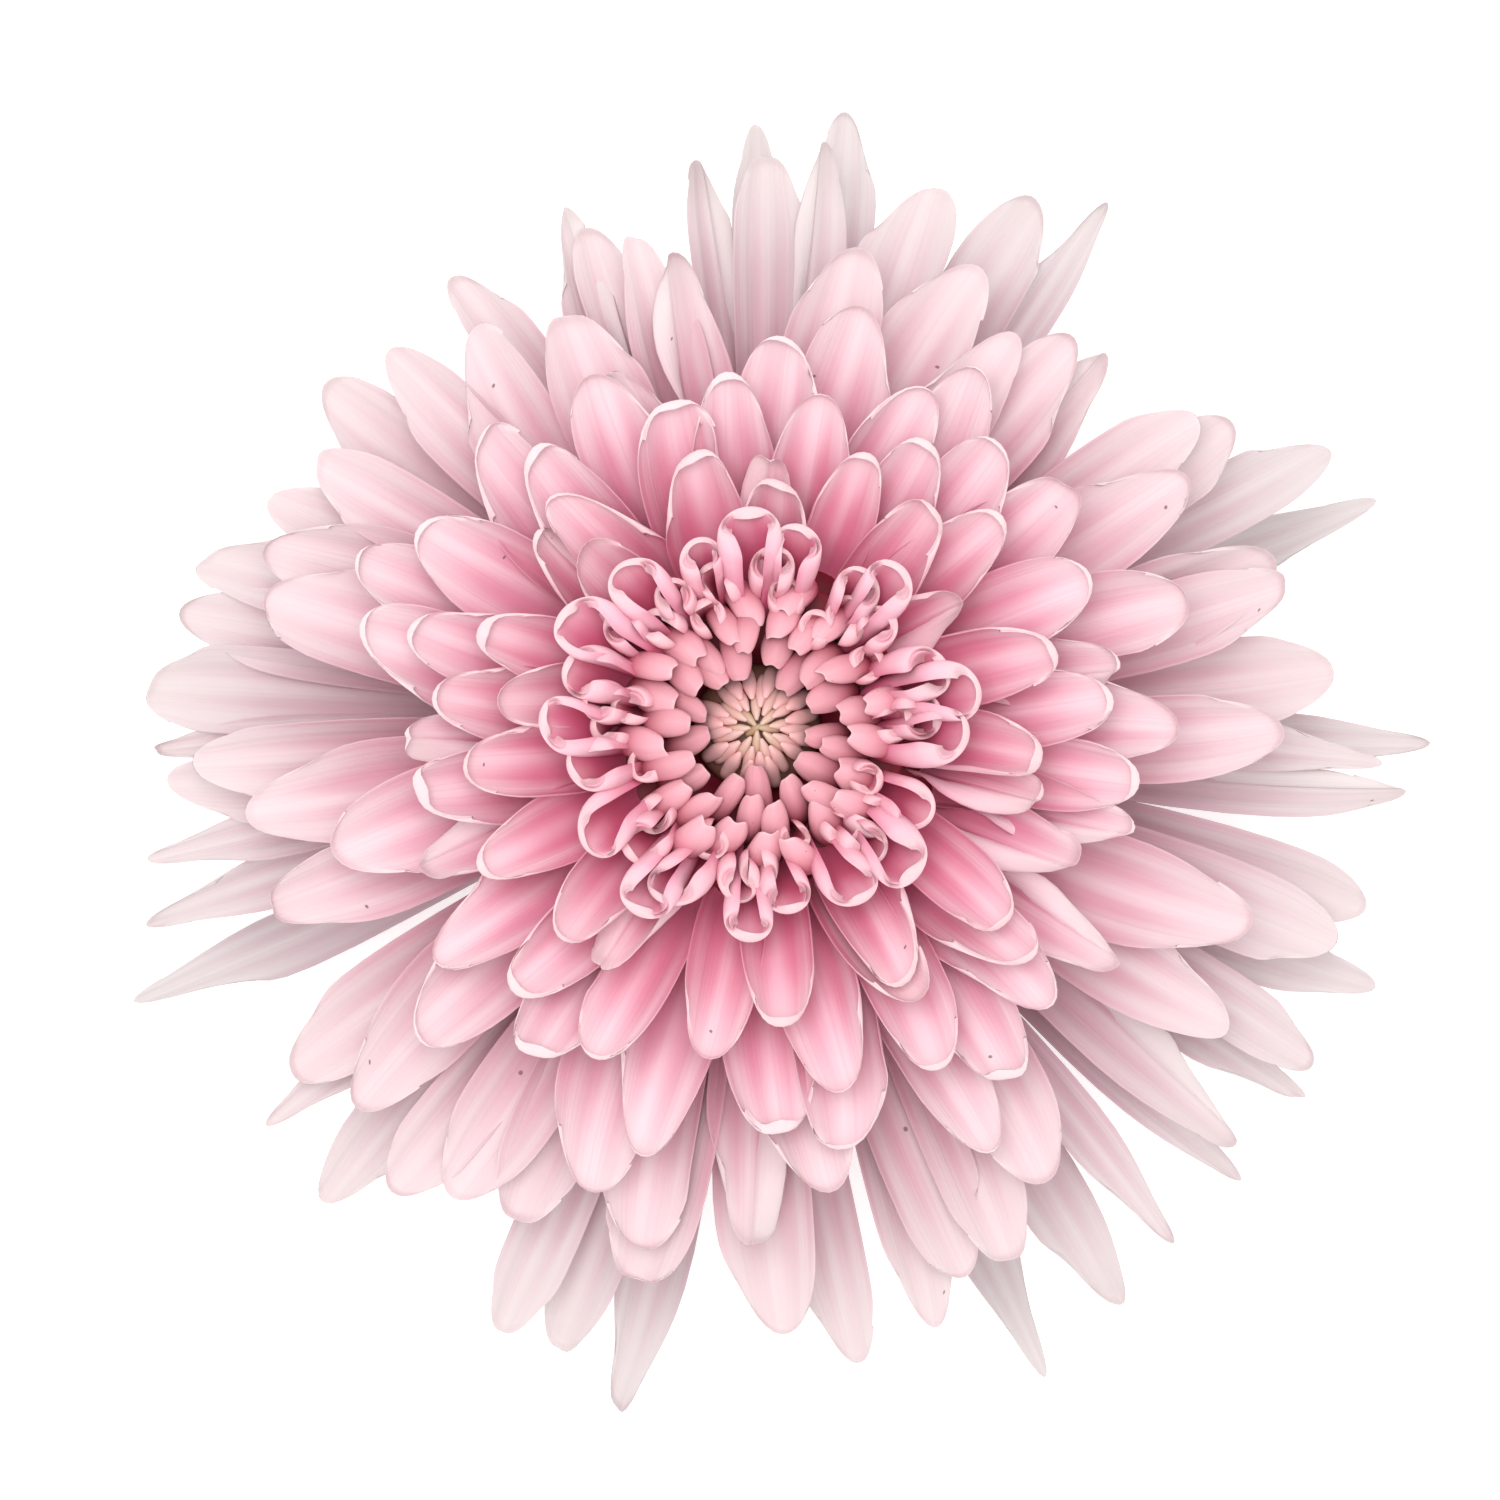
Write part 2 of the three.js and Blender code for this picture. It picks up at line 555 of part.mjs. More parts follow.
const bloom = new THREE.Group();
bloom.add(
  meshOf("outer_ray_florets", paleRays(), "#ecdde0", 0.6),
  meshOf("middle_ray_florets", pinkRays(), "#eab9c8", 0.6),
  meshOf("crown_florets", crownFlorets(), "#dd8fa6", 0.6),
  meshOf("centre_florets", centreFlorets(), "#cdbd9f", 0.65),
  meshOf("cup_and_stalk", cupAndStalk(), "#7d9a55", 0.7),
);

export default bloom;
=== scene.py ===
# %% [markdown]
# # A cut football mum, dressed in Blender
#
# The object is one large chrysanthemum bloom, cut close under its head and laid face up. Its solids come
# from a imported model, which is loaded here as a fixed frame. Each group of florets in the frame is replaced
# by a finer piece of the same form, and the green cup under the bloom too. The frame is never moved.

# %% Load the frame
import math

import bmesh
import bpy
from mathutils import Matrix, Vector


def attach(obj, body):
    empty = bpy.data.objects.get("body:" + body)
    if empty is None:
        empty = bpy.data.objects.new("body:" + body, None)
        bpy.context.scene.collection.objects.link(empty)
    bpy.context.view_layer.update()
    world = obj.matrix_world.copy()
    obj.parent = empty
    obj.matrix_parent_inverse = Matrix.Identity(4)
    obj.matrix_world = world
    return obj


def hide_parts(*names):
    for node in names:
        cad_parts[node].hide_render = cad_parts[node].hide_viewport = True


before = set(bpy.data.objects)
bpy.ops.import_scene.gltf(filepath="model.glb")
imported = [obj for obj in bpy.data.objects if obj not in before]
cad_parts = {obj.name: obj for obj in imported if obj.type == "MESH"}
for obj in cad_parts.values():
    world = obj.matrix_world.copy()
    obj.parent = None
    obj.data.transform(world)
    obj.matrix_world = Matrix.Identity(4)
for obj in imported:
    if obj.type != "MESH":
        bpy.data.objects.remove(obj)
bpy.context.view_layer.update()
print("solids in the frame:", ", ".join(sorted(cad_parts)))

# %% [markdown]
# ## Units, places and the camera
#
# A bloom is easier to think about in millimetres, so its sizes are written that way here and scaled once,
# where a point becomes a vertex. The photograph looks straight at the face of the bloom. The bloom lies
# down here, so the camera looks straight down. It could be an orthographic camera, but a long lens keeps the
# slight growth of what stands nearer, as a real photograph does.

# %% The camera over the bloom
MM = 0.001
BLOOM_AXIS = Vector((-2.12, 3.8, 0)) * MM
PHOTO_SIDE = 1500
PHOTO_PIXEL = 0.1 * MM
AXIS_PIXEL = (757, 728)
CAMERA_HEIGHT = 1.3
MATCHED_HEIGHT = 10 * MM
SENSOR = 36


def photo_middle():
    """The place on the floor that the photograph's middle pixel looks at."""
    right = (PHOTO_SIDE / 2 - AXIS_PIXEL[0]) * PHOTO_PIXEL
    up = (AXIS_PIXEL[1] - PHOTO_SIDE / 2) * PHOTO_PIXEL
    return BLOOM_AXIS + Vector((right, up, 0))


def placed(name, data, place=(0, 0, 0)):
    """Puts an object that shows some data into the scene."""
    made = bpy.data.objects.new(name, data)
    made.location = place
    bpy.context.scene.collection.objects.link(made)
    return made


def set_camera():
    data = bpy.data.cameras.new("photo_camera")
    data.sensor_width = SENSOR
    data.lens = SENSOR * (CAMERA_HEIGHT - MATCHED_HEIGHT) / (PHOTO_SIDE * PHOTO_PIXEL)
    place = photo_middle() + Vector((0, 0, CAMERA_HEIGHT))
    bpy.context.scene.camera = placed("photo_camera", data, place)
    return data.lens


print(f"camera lens {set_camera():.0f} mm, {CAMERA_HEIGHT} m over the floor")

# %% [markdown]
# ## Light and floor
#
# The photograph has even, soft light from the camera's side and a white ground with no shadow. A bright,
# nearly white world gives that, because light then comes into the gaps between the florets from every side.
# One broad lamp above, a little to the upper left, models the florets. The card that the bloom lies on glows
# faintly, like a photographer's light table, and so no grey halo stands round the bloom. The Standard view
# keeps white as white, where the default view would turn it grey.

# %% A bright studio and a plain pale floor
SKY = {"Color": (1.0, 0.99, 0.985, 1), "Strength": 1.05}
LAMP_SIZE = 0.8
LAMP_POWER = 12
LAMP_PLACE = Vector((-0.12, 0.2, 1.5))
FLOOR_SIDE = 6
CARD = {
    "Base Color": (0.93, 0.93, 0.93, 1),
    "Roughness": 0.9,
    "Emission Color": (1, 1, 1, 1),
    "Emission Strength": 0.35,
}


def set_inputs(node, values):
    """Sets inputs of a node, or joins them to other nodes, by name or by number."""
    for key, value in values.items():
        if isinstance(value, bpy.types.NodeSocket):
            node.id_data.links.new(value, node.inputs[key])
        else:
            node.inputs[key].default_value = value


def set_light():
    world = bpy.data.worlds.new("white_studio")
    world.use_nodes = True
    set_inputs(world.node_tree.nodes["Background"], SKY)
    bpy.context.scene.world = world
    lamp = bpy.data.lights.new("broad_lamp", "AREA")
    lamp.size = LAMP_SIZE
    lamp.energy = LAMP_POWER
    holder = placed("broad_lamp", lamp, LAMP_PLACE)
    holder.rotation_euler = (-LAMP_PLACE).to_track_quat("-Z", "Y").to_euler()
    bpy.context.scene.view_settings.view_transform = "Standard"


def mesh_from(bm, name):
    mesh = bpy.data.meshes.new(name)
    bm.to_mesh(mesh)
    bm.free()
    return mesh


def make_floor():
    bm = bmesh.new()
    bmesh.ops.create_grid(bm, x_segments=1, y_segments=1, size=FLOOR_SIDE / 2)
    floor = placed("pale_floor", mesh_from(bm, "pale_floor"))
    paint = bpy.data.materials.new("white_card")
    paint.use_nodes = True
    set_inputs(paint.node_tree.nodes["Principled BSDF"], CARD)
    floor.data.materials.append(paint)


set_light()
make_floor()
print("one lamp, a white sky and a floor", FLOOR_SIDE, "m wide")

# %% [markdown]
# ## How a bloom grows
#
# A chrysanthemum makes its florets one after another, each about 137.5 degrees round from the last, and the
# young ones are in the middle. So a floret's number says where it stands, and its rank, which is how far its
# tip reaches in millimetres, says how it bends: the middle ones stand up and the outer ones spread and sag.
# Chance varies each floret a little. It comes from a formula on the floret's number, not from a random
# generator, so each floret is the same on every run, and the frame's florets match these.

# %% Fixed chance and short lists of stops
GOLDEN_ANGLE = 137.508
FULL_RANK = 70
TRAITS = "rank turn width roll sweep curled curl height point channel "
TRAITS = (TRAITS + "shade notch hook left right twist side skew").split()


def chance(floret, trait):
    """A fixed draw from 0 to 1 for one trait of one floret."""
    x = math.sin(floret * 12.9898 + (TRAITS.index(trait) + 1) * 78.233) * 43758.5453
    return x - math.floor(x)


def either(floret, trait, amount):
    """A fixed draw between minus and plus an amount."""
    return (2 * chance(floret, trait) - 1) * amount


def mix(a, b, share):
    """A value between two others. A pair of them is given with a star."""
    return a + (b - a) * share


def read(stops, rank):
    """Reads a value off a short list of (rank, value) stops."""
    if rank <= stops[0][0]:
        return stops[0][1]
    for (low, low_value), (high, high_value) in zip(stops, stops[1:]):
        if rank < high:
            return mix(low_value, high_value, (rank - low) / (high - low))
    return stops[-1][1]


def smoothstep(x, low, high):
    t = min(1, max(0, (x - low) / (high - low)))
    return t * t * (3 - 2 * t)


def drawn_traits(number, rank, turn=0, sweep=0, roll=0, twist=0, skew=0):
    """What each floret draws, within so much on either side of its regular place and form."""
    return {
        "azimuth": number * GOLDEN_ANGLE + either(number, "turn", turn),
        "rank": rank / FULL_RANK,
        "chance": chance(number, "shade"),
        "sweep": either(number, "sweep", sweep),
        "roll": math.radians(either(number, "roll", roll)),
        "twist": math.radians(either(number, "twist", twist)),
        "skew": either(number, "skew", skew),
        "plump": False,
    }


def in_turn(kind):
    """The number of each floret of a kind, and how far through them it is."""
    return [(kind["first"] + i, i / (kind["count"] - 1)) for i in range(kind["count"])]


print("floret 84 turns", f"{either(84, 'turn', 2):+.2f}", "degrees from the golden angle")

# %% [markdown]
# ## The path of a floret
#
# Seen from the side, a floret is a curve in the upright plane through the bloom's axis. Four points of a
# Bezier curve give it: the root, the tip, and one point for the direction at each end. The last fifth can
# bend further round an arc, which is how some tips curl right over. The last few millimetres can bend the
# other way as a hook, which makes the lip that turns up round a tip. The curve could be a Blender curve
# object, but the florets need the angle at each point too, so a small class works it out.

# %% A Bezier path with a curl and a hook at its end
LEAD = 0.4
LAG = 0.35
CURL_FROM = 0.8
CURL_STRETCH = 1.04
LEAST_CURL = math.radians(1)
HOOK_BEND_SHARE = 0.6
PATH_STEPS = 40


def turned_on(place, angle, length, bend):
    """The place and angle after an arc of one length, which bends by so much, from a place."""
    if abs(bend) < LEAST_CURL:
        return place[0] + length * math.cos(angle), place[1] + length * math.sin(angle), angle
    radius = length / bend
    r = place[0] + radius * (math.sin(angle + bend) - math.sin(angle))
    z = place[1] - radius * (math.cos(angle + bend) - math.cos(angle))
    return r, z, angle + bend


def at_angle(point, length, degrees):
    """The point at a distance and an angle from another."""
    turn = math.radians(degrees)
    return (point[0] + length * math.cos(turn), point[1] + length * math.sin(turn))


class FloretPath:
    """The middle line of a floret, as reach from the axis and height, in millimetres."""

    def __init__(self, root, start, tip, end, lead=LEAD, lag=LAG, curl=0, hook=0, hook_length=2):
        self.reach = math.hypot(tip[0] - root[0], tip[1] - root[1])
        before = at_angle(root, lead * self.reach, start)
        after = at_angle(tip, -lag * self.reach, end)
        self.points = (root, before, after, tip)
        self.curl = math.radians(curl)
        steps = [self.plain(i / PATH_STEPS)[:2] for i in range(PATH_STEPS + 1)]
        self.length = sum(math.dist(a, b) for a, b in zip(steps, steps[1:]))
        self.hook = math.radians(hook)
        self.hook_share = hook_length / self.length

    def plain(self, s):
        """Reach, height and angle on the Bezier curve itself."""
        t = 1 - s
        weights = (t ** 3, 3 * t * t * s, 3 * t * s * s, s ** 3)
        r, z = (sum(w * p[k] for w, p in zip(weights, self.points)) for k in (0, 1))
        slopes = (t * t, 2 * t * s, s * s)
        steps = [[b[k] - a[k] for k in (0, 1)] for a, b in zip(self.points, self.points[1:])]
        dr, dz = (sum(w * step[k] for w, step in zip(slopes, steps)) for k in (0, 1))
        return r, z, math.atan2(dz, dr)

    def curled(self, s):
        """The path with its curl, which bends the last fifth round an arc."""
        if s <= CURL_FROM or abs(self.curl) < LEAST_CURL:
            return self.plain(min(s, 1))
        r, z, angle = self.plain(CURL_FROM)
        part = (s - CURL_FROM) / (1 - CURL_FROM)
        length = self.reach * (1 - CURL_FROM) * CURL_STRETCH * part
        return turned_on((r, z), angle, length, self.curl * part)

    def at(self, s, pull=0, lip=1):
        """The path with its hooked tip. A pull brings the place back, and a lip under 1 hooks less."""
        bend_from = 1 - self.hook_share
        if s <= bend_from:
            return self.curled(s - pull)
        r, z, angle = self.curled(bend_from - pull)
        part = (s - bend_from) / self.hook_share
        turned = min(part / HOOK_BEND_SHARE, 1)
        hook_length = self.hook_share * self.length * lip
        bent = hook_length * HOOK_BEND_SHARE * turned
        r, z, angle = turned_on((r, z), angle, bent, self.hook * turned * lip)
        flat = hook_length * max(0, part - HOOK_BEND_SHARE)
        return r + flat * math.cos(angle), z + flat * math.sin(angle), angle


trial = FloretPath((7, 20), 20, (60, 6), -30, curl=10)
print(f"a trial ray is {trial.length:.1f} mm long and ends at {trial.at(1)[0]:.1f} mm")

# %% [markdown]
# ## The skin of a floret
#
# A floret is a thin, channelled blade. It could be a flat sheet with a Solidify modifier, but the face and
# the reverse of a petal differ in colour, and the edge should thin out. So a grid is wrapped round the blade
# instead: half of its columns run over the face, the other half come back over the reverse, and the seam is
# welded. Nine columns to a side and six to nine rows are enough, because a Subdivision Surface modifier
# rounds them. The sides of a young floret roll in over its face, and its rounded tip turns up as a lip that
# fades out to both sides. Each vertex keeps where it is along and across its floret, for the materials.

# %% Wrap a grid round a floret
COLUMNS = (-1, -0.86, -0.66, -0.36, 0, 0.36, 0.66, 0.86, 1)
LEDGERS = ("along", "across", "reverse", "rank", "chance")
WELD = 0.002 * MM
EDGE_REVERSE = 0.3
WAIST = 0.3
WIDENING = (0.05, 0.7)
BLUNT_TIP = {"length": 0.8, "closes": 0.9}
SHARP_TIP = {"longer": 1.5, "closes": 0.86, "power": 1.2}
LONGEST_TIP = 0.5
EDGE_SHARE = 0.88
LIP_SHARE = 0.7
LIP_FROM_LEAST = 0.3
LIP = {"skewed": 0.3, "fades": 0.92, "least": 0.05}
TIP_BOW = 0.36
BOW_POWER = 2.2
NOTCH_WIDTH = 0.3
TUBE_BEND = 0.94 * math.pi
CHANNEL_BEND = {"root": 1.3, "lost": 0.5, "least": 0.02}
PLAIN_EDGE = (0.5, 1)
FOLDED_EDGE = (0, 0.36)
SPOON_EDGE = (0.64, 1)
ROLLING = (0.3, 0.85)
UNROLLING = (0.5, 1)
TIP_FLAT = 0.8
EDGE_TAPER = 5.5
TIP_TAPER = 2.5
RIB_SPACING = 0.36
LEAST_HEIGHT = 0.02


def closing_share(floret):
    """The share of the length over which the tip closes."""
    widths = BLUNT_TIP["length"] + SHARP_TIP["longer"] * floret["pointed"]
    return min(LONGEST_TIP, floret["width"] * widths / floret["path"].length)


def tip_shares(floret, s_row):
    """How far a row is into the closing tip, how far before any lip, and how far its outline has closed."""
    closing = closing_share(floret)
    near_tip = min(1, max(0, (s_row - (1 - closing)) / closing))
    if "round_lip" not in floret:
        return near_tip, near_tip, EDGE_SHARE * near_tip
    lip_from = max(LIP_FROM_LEAST, 1 - floret["path"].hook_share / closing)
    before_lip = min(near_tip, lip_from)
    return near_tip, before_lip, LIP_SHARE * before_lip / lip_from


def outline(floret, s, closed):
    """The share of its full width that a floret has at s, where its tip has closed by so much."""
    base = floret.get("waist", WAIST)
    base += (1 - base) * smoothstep(s, *WIDENING)
    blunt = math.sqrt(1 - BLUNT_TIP["closes"] * closed * closed)
    sharp = 1 - SHARP_TIP["closes"] * closed ** SHARP_TIP["power"]
    return base * mix(blunt, sharp, floret["pointed"])


def axes_at(floret, s, pull, lip):
    """The middle of a floret at s, pulled back by a share, and its directions across and up."""
    r, z, angle = floret["path"].at(s, pull, lip)
    s -= pull
    azimuth = math.radians(floret["azimuth"] + floret["sweep"] * s * s)
    out = Vector((math.cos(azimuth), math.sin(azimuth), 0))
    side = Vector((-out.y, out.x, 0))
    face = Vector((-math.sin(angle) * out.x, -math.sin(angle) * out.y, math.cos(angle)))
    roll = floret["roll"] + floret["twist"] * s * s
    across = side * math.cos(roll) + face * math.sin(roll)
    up = face * math.cos(roll) - side * math.sin(roll)
    return Vector((out.x * r, out.y * r, z)), across, up


def section_point(c, half, bend, edge, offset):
    """A point across a floret and up from its middle. Past its margin line the edge rolls in further."""
    margin, roll_in, crease = edge
    radius = half / math.sin(min(bend, math.pi / 2))
    tilt = bend * min(abs(c), margin)
    x = radius * math.sin(tilt)
    y = radius * (1 - math.cos(tilt))
    if abs(c) > margin:
        share = (abs(c) - margin) / (1 - margin)
        length = radius * bend * (1 - margin)
        turned = min(share / crease, 1)
        turn = (bend * (1 - margin) + roll_in) * turned
        x, y, tilt = turned_on((x, y), tilt, length * crease * turned, turn)
        flat = length * max(0, share - crease)
        x += flat * math.cos(tilt)
        y += flat * math.sin(tilt)
    x -= offset * math.sin(tilt)
    return math.copysign(x, c), y + offset * math.cos(tilt)


def pull_at(floret, near_tip, before_lip, c):
    """How far a point is pulled back along its floret, by the round of the tip and by a notch in it."""
    bow = floret.get("bow", TIP_BOW) * closing_share(floret) * before_lip
    round_tip = bow * abs(c - floret["skew"]) ** BOW_POWER
    notch = floret["notch"] * closing_share(floret) * near_tip ** 3
    return round_tip + notch * math.exp(-((c / NOTCH_WIDTH) ** 2))


def roll_in_at(floret, near_tip, opening, c):
    """How far the edge rolls in at one place. It rolls out again towards the tip."""
    unrolled = smoothstep(near_tip, *floret.get("unrolling", UNROLLING))
    rolled = floret.get("roll_in", (0, 0))[c > 0] * opening
    return rolled * (1 - floret.get("tip_flat", TIP_FLAT) * unrolled)


def skin_point(floret, s_row, c, side):
    """A point of a floret's face, where side is 1, or of its reverse, where it is -1."""
    near_tip, before_lip, closed = tip_shares(floret, s_row)
    pull = pull_at(floret, near_tip, before_lip, c)
    s = s_row - pull
    if "round_lip" in floret:
        lip = (1 - LIP["skewed"] * (c - 2 * floret["skew"]) ** 2) * (1 - LIP["fades"] * c * c)
        middle, across, up = axes_at(floret, s_row, pull, max(LIP["least"], lip))
    else:
        middle, across, up = axes_at(floret, s, 0, 1)
    half = 0.5 * floret["width"] * outline(floret, s_row, closed)
    bend = floret["channel"] * (CHANNEL_BEND["root"] - CHANNEL_BEND["lost"] * s)
    bend = max(CHANNEL_BEND["least"], bend + floret.get("tip_cup", 0) * closed)
    opening = smoothstep(s, *floret.get("mouth", ROLLING))
    if "mouth" in floret:
        bend = mix(TUBE_BEND, bend, opening)
    plump = math.sqrt(max(0, 1 - c * c)) if floret["plump"] else min(1, EDGE_TAPER * (1 - abs(c)))
    offset = side * 0.5 * floret["thickness"] * plump * min(1, TIP_TAPER * (1 - near_tip))
    margin, crease = floret.get("margins", (PLAIN_EDGE, PLAIN_EDGE))[c > 0]
    edge = (margin, roll_in_at(floret, near_tip, opening, c), crease)
    x, y = section_point(c, half, bend, edge, offset)
    y += floret.get("ribs", 0) * math.cos(math.pi * c / RIB_SPACING) * (1 - c * c) * (1 - near_tip)
    point = middle + across * x + up * (y - floret.get("set_back", 0))
    if floret.get("rests"):
        point.z = max(point.z, LEAST_HEIGHT)
    return point


def wrap_floret(bm, floret, rows):
    """Adds one floret to a bmesh, as a grid wrapped round its face and its reverse."""
    around = 2 * (len(COLUMNS) - 1)
    grid = bmesh.ops.create_grid(bm, x_segments=around, y_segments=len(rows) - 1, size=1)
    ledgers = [bm.verts.layers.float[name] for name in LEDGERS]
    for vert in grid["verts"]:
        i = round((vert.co.x + 1) / 2 * around)
        s = rows[round((vert.co.y + 1) / 2 * (len(rows) - 1))]
        on_face = i <= around // 2
        c = -COLUMNS[i if on_face else around - i]
        reverse = EDGE_REVERSE if abs(c) == 1 else (0 if on_face else 1)
        for ledger, mark in zip(ledgers, (s, c, reverse, floret["rank"], floret["chance"])):
            vert[ledger] = mark
        vert.co = skin_point(floret, s, c, 1 if on_face else -1) * MM + BLOOM_AXIS
    bmesh.ops.remove_doubles(bm, verts=grid["verts"], dist=WELD)


print(2 * (len(COLUMNS) - 1), "columns run round each floret")

# %% [markdown]
# ## From a bmesh to a finished piece
#
# Every piece goes through the same steps: its open roots are closed, its faces are made to point outwards,
# it becomes a smooth-shaded object at the origin, and a Subdivision Surface modifier rounds it. It rides on
# the one body of the bloom and replaces the frame's solid that it stands for.

# %% Start and finish a piece
# The flesh takes the petal colours of this rank, whose deep crimson is painted shade for the gaps between the
# florets.
SHADED_FLESH_RANK = 0.1


def new_piece():
    """An empty bmesh whose vertices can keep the marks that the materials read."""
    bm = bmesh.new()
    for name in LEDGERS:
        bm.verts.layers.float.new(name)
    return bm


def finish_piece(bm, name, node, material, levels):
    """Turns a bmesh into a piece of the bloom, rounded by so many levels."""
    bmesh.ops.holes_fill(bm, edges=[edge for edge in bm.edges if edge.is_boundary])
    bmesh.ops.recalc_face_normals(bm, faces=bm.faces)
    for face in bm.faces:
        face.smooth = True
    mesh = mesh_from(bm, name)
    mesh.materials.append(material)
    piece = placed(name, mesh)
    if levels:
        rounded = piece.modifiers.new("rounded", "SUBSURF")
        rounded.levels = levels
        rounded.render_levels = levels
    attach(piece, "root")
    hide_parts(node)
    print(name, "has", len(mesh.polygons), "faces before it is rounded")


def lathe(bm, profile, steps, rank=SHADED_FLESH_RANK):
    """Spins a profile of (radius, height) points round the bloom's axis."""
    verts = [bm.verts.new(Vector((r, 0, z)) * MM + BLOOM_AXIS) for r, z in profile]
    edges = [bm.edges.new(pair) for pair in zip(verts, verts[1:])]
    for vert in verts:
        vert[bm.verts.layers.float["rank"]] = rank
    turn = {"cent": BLOOM_AXIS, "axis": (0, 0, 1), "angle": 2 * math.pi, "steps": steps}
    bmesh.ops.spin(bm, geom=verts + edges, use_merge=True, **turn)
    on_axis = [vert for vert in bm.verts if (vert.co - BLOOM_AXIS).xy.length < WELD]
    bmesh.ops.remove_doubles(bm, verts=on_axis, dist=WELD)


# %% [markdown]
# ## Petal colour
#
# A ray is deepest at its base and pales to its tip and along its edges. The deep colour at the base is partly
# the ray's own colour, for the base is young, and partly painted shade, for the base lies in shade under the
# florets in front of it. The pale edge is partly its own colour and partly a painted highlight, where the
# thin edge catches the light. Its reverse is paler still, almost cream, and deep at its base too, partly with
# painted shade. Fine veins run lengthwise, two or three soft grooves are darkened with painted shade, and a
# few florets have a small brown speck. All the florets share this, and only the colours change from the
# crown to the outermost rays, so it is one node group that reads the marks left on the vertices. Its knobs
# say how far the deep colour and its painted shade go on the face and behind, and how strong the veins, the
# painted shade in the grooves and the pale edge with its painted highlight are. An image would look flat
# from close by, and this pattern follows each floret whatever its bend.

# %% The petal colour group
def linear(red, green, blue):
    """A colour as seen on a screen, 0 to 255, as the linear numbers that a shader takes."""
    parts = [v / 255 for v in (red, green, blue)]
    return (*[p / 12.92 if p <= 0.04045 else ((p + 0.055) / 1.055) ** 2.4 for p in parts], 1)


class Graph:
    """Short ways to add and join the nodes of a material or a group."""

    def __init__(self, tree):
        self.tree = tree

    def node(self, kind, inputs, **settings):
        made = self.tree.nodes.new("ShaderNode" + kind)
        for name, value in settings.items():
            setattr(made, name, value)
        set_inputs(made, inputs)
        return made

    def object_place(self):
        return self.node("TexCoord", {}).outputs["Object"]

    def mark(self, name):
        return self.node("Attribute", {}, attribute_name=name).outputs["Fac"]

    def math(self, kind, *values):
        return self.node("Math", dict(enumerate(values)), operation=kind).outputs[0]

    def times(self, product, *factors):
        for factor in factors:
            product = self.math("MULTIPLY", product, factor)
        return product

    def spread(self, value, low, high, to_low=0.0, to_high=1.0):
        inputs = dict(enumerate((value, low, high, to_low, to_high)))
        return self.node("MapRange", inputs, interpolation_type="SMOOTHSTEP").outputs[0]

    def mixed(self, share, a, b):
        return self.node("Mix", {"Factor": share, 6: a, 7: b}, data_type="RGBA").outputs[2]

    def ramp(self, value, stops):
        made = self.node("ValToRGB", {"Fac": value})
        elements = made.color_ramp.elements
        elements[0].position, elements[0].color = stops[0]
        elements[1].position, elements[1].color = stops[-1]
        for position, colour in stops[1:-1]:
            elements.new(position).color = colour
        return made.outputs["Color"]

    def noise(self, vector, scale, detail=2.0):
        inputs = {"Vector": vector, "Scale": scale, "Detail": detail}
        return self.node("TexNoise", inputs).outputs["Fac"]

    def drawn(self, draw, factor, low, high):
        """Another draw from the same one, between two values."""
        part = self.math("FRACT", self.times(draw, factor))
        return self.math("MULTIPLY_ADD", part, high - low, low)

    def speck(self, along, across, draw):
        """Nearly 1 in one small spot on a few florets, and 0 elsewhere."""
        forward = self.math("SUBTRACT", along, self.drawn(draw, 23.0, 0.6, 0.97))
        aside = self.math("SUBTRACT", across, self.drawn(draw, 11.0, -0.7, 0.7))
        forward, aside = self.times(forward, SPECK["along"]), self.times(aside, SPECK["across"])
        far = self.math("ADD", self.times(forward, forward), self.times(aside, aside))
        spot = self.spread(far, SPECK["inner"], SPECK["outer"], SPECK["strength"], 0.0)
        chosen = self.math("GREATER_THAN", self.drawn(draw, 57.0, 0, 1), SPECK["spared"])
        return self.times(spot, chosen)

    def petal_noise(self, across, along, draw, scale, detail):
        """Noise in streaks along a floret, which differ from floret to floret."""
        vector = self.node("CombineXYZ", {0: across, 1: along, 2: self.times(draw, 40.0)}).outputs[0]
        return self.noise(vector, scale, detail)


def new_material(name):
    """A new material, with its graph and its shader."""
    material = bpy.data.materials.new(name)
    material.use_nodes = True
    return material, Graph(material.node_tree), material.node_tree.nodes["Principled BSDF"]


LIGHT_GAIN = 1.2


def petal_ink(red, green, blue):
    """A colour as seen in the bright studio, less what the strong light adds."""
    return (*[v / LIGHT_GAIN for v in linear(red, green, blue)[:3]], 1)


def petal_stops(*colours):
    """One colour for each of the ranks from the hoods to the outermost rays."""
    return [(rank, petal_ink(*colour)) for rank, colour in zip((0.1, 0.2, 0.35, 0.55, 0.8, 1), colours)]


# The deep base colours are partly the florets' own colour and partly painted shade; the darkest, at the
# hoods' rank, stands for the shade in the gaps between them.
BASE_AND_SHADE_COLOURS = petal_stops(
    (130, 28, 46), (204, 90, 116), (222, 106, 142), (226, 128, 158), (214, 156, 172), (200, 176, 184)
)
BODY_COLOURS = petal_stops(
    (230, 156, 166), (246, 182, 194), (252, 197, 213), (252, 214, 225), (232, 207, 212), (217, 209, 209)
)
PALE_COLOURS = petal_stops(
    (244, 194, 200), (248, 202, 208), (248, 212, 216), (247, 222, 225), (240, 226, 226), (228, 222, 220)
)
GROOVE_SPACING = 0.62
# The knobs set how far the deep colour, partly painted shade, goes on the face and behind, and how strong the
# veins, the painted groove shade and the pale edge with its painted highlight are.
PETAL_KNOBS = ("Deep until", "Deep behind until", "Veins", "Groove shade", "Pale edge and highlight")
BROWN_SPECK = petal_ink(120, 84, 76)
SPECK = {"along": 45.0, "across": 4.5, "inner": 0.01, "outer": 0.06, "strength": 0.8, "spared": 0.8}


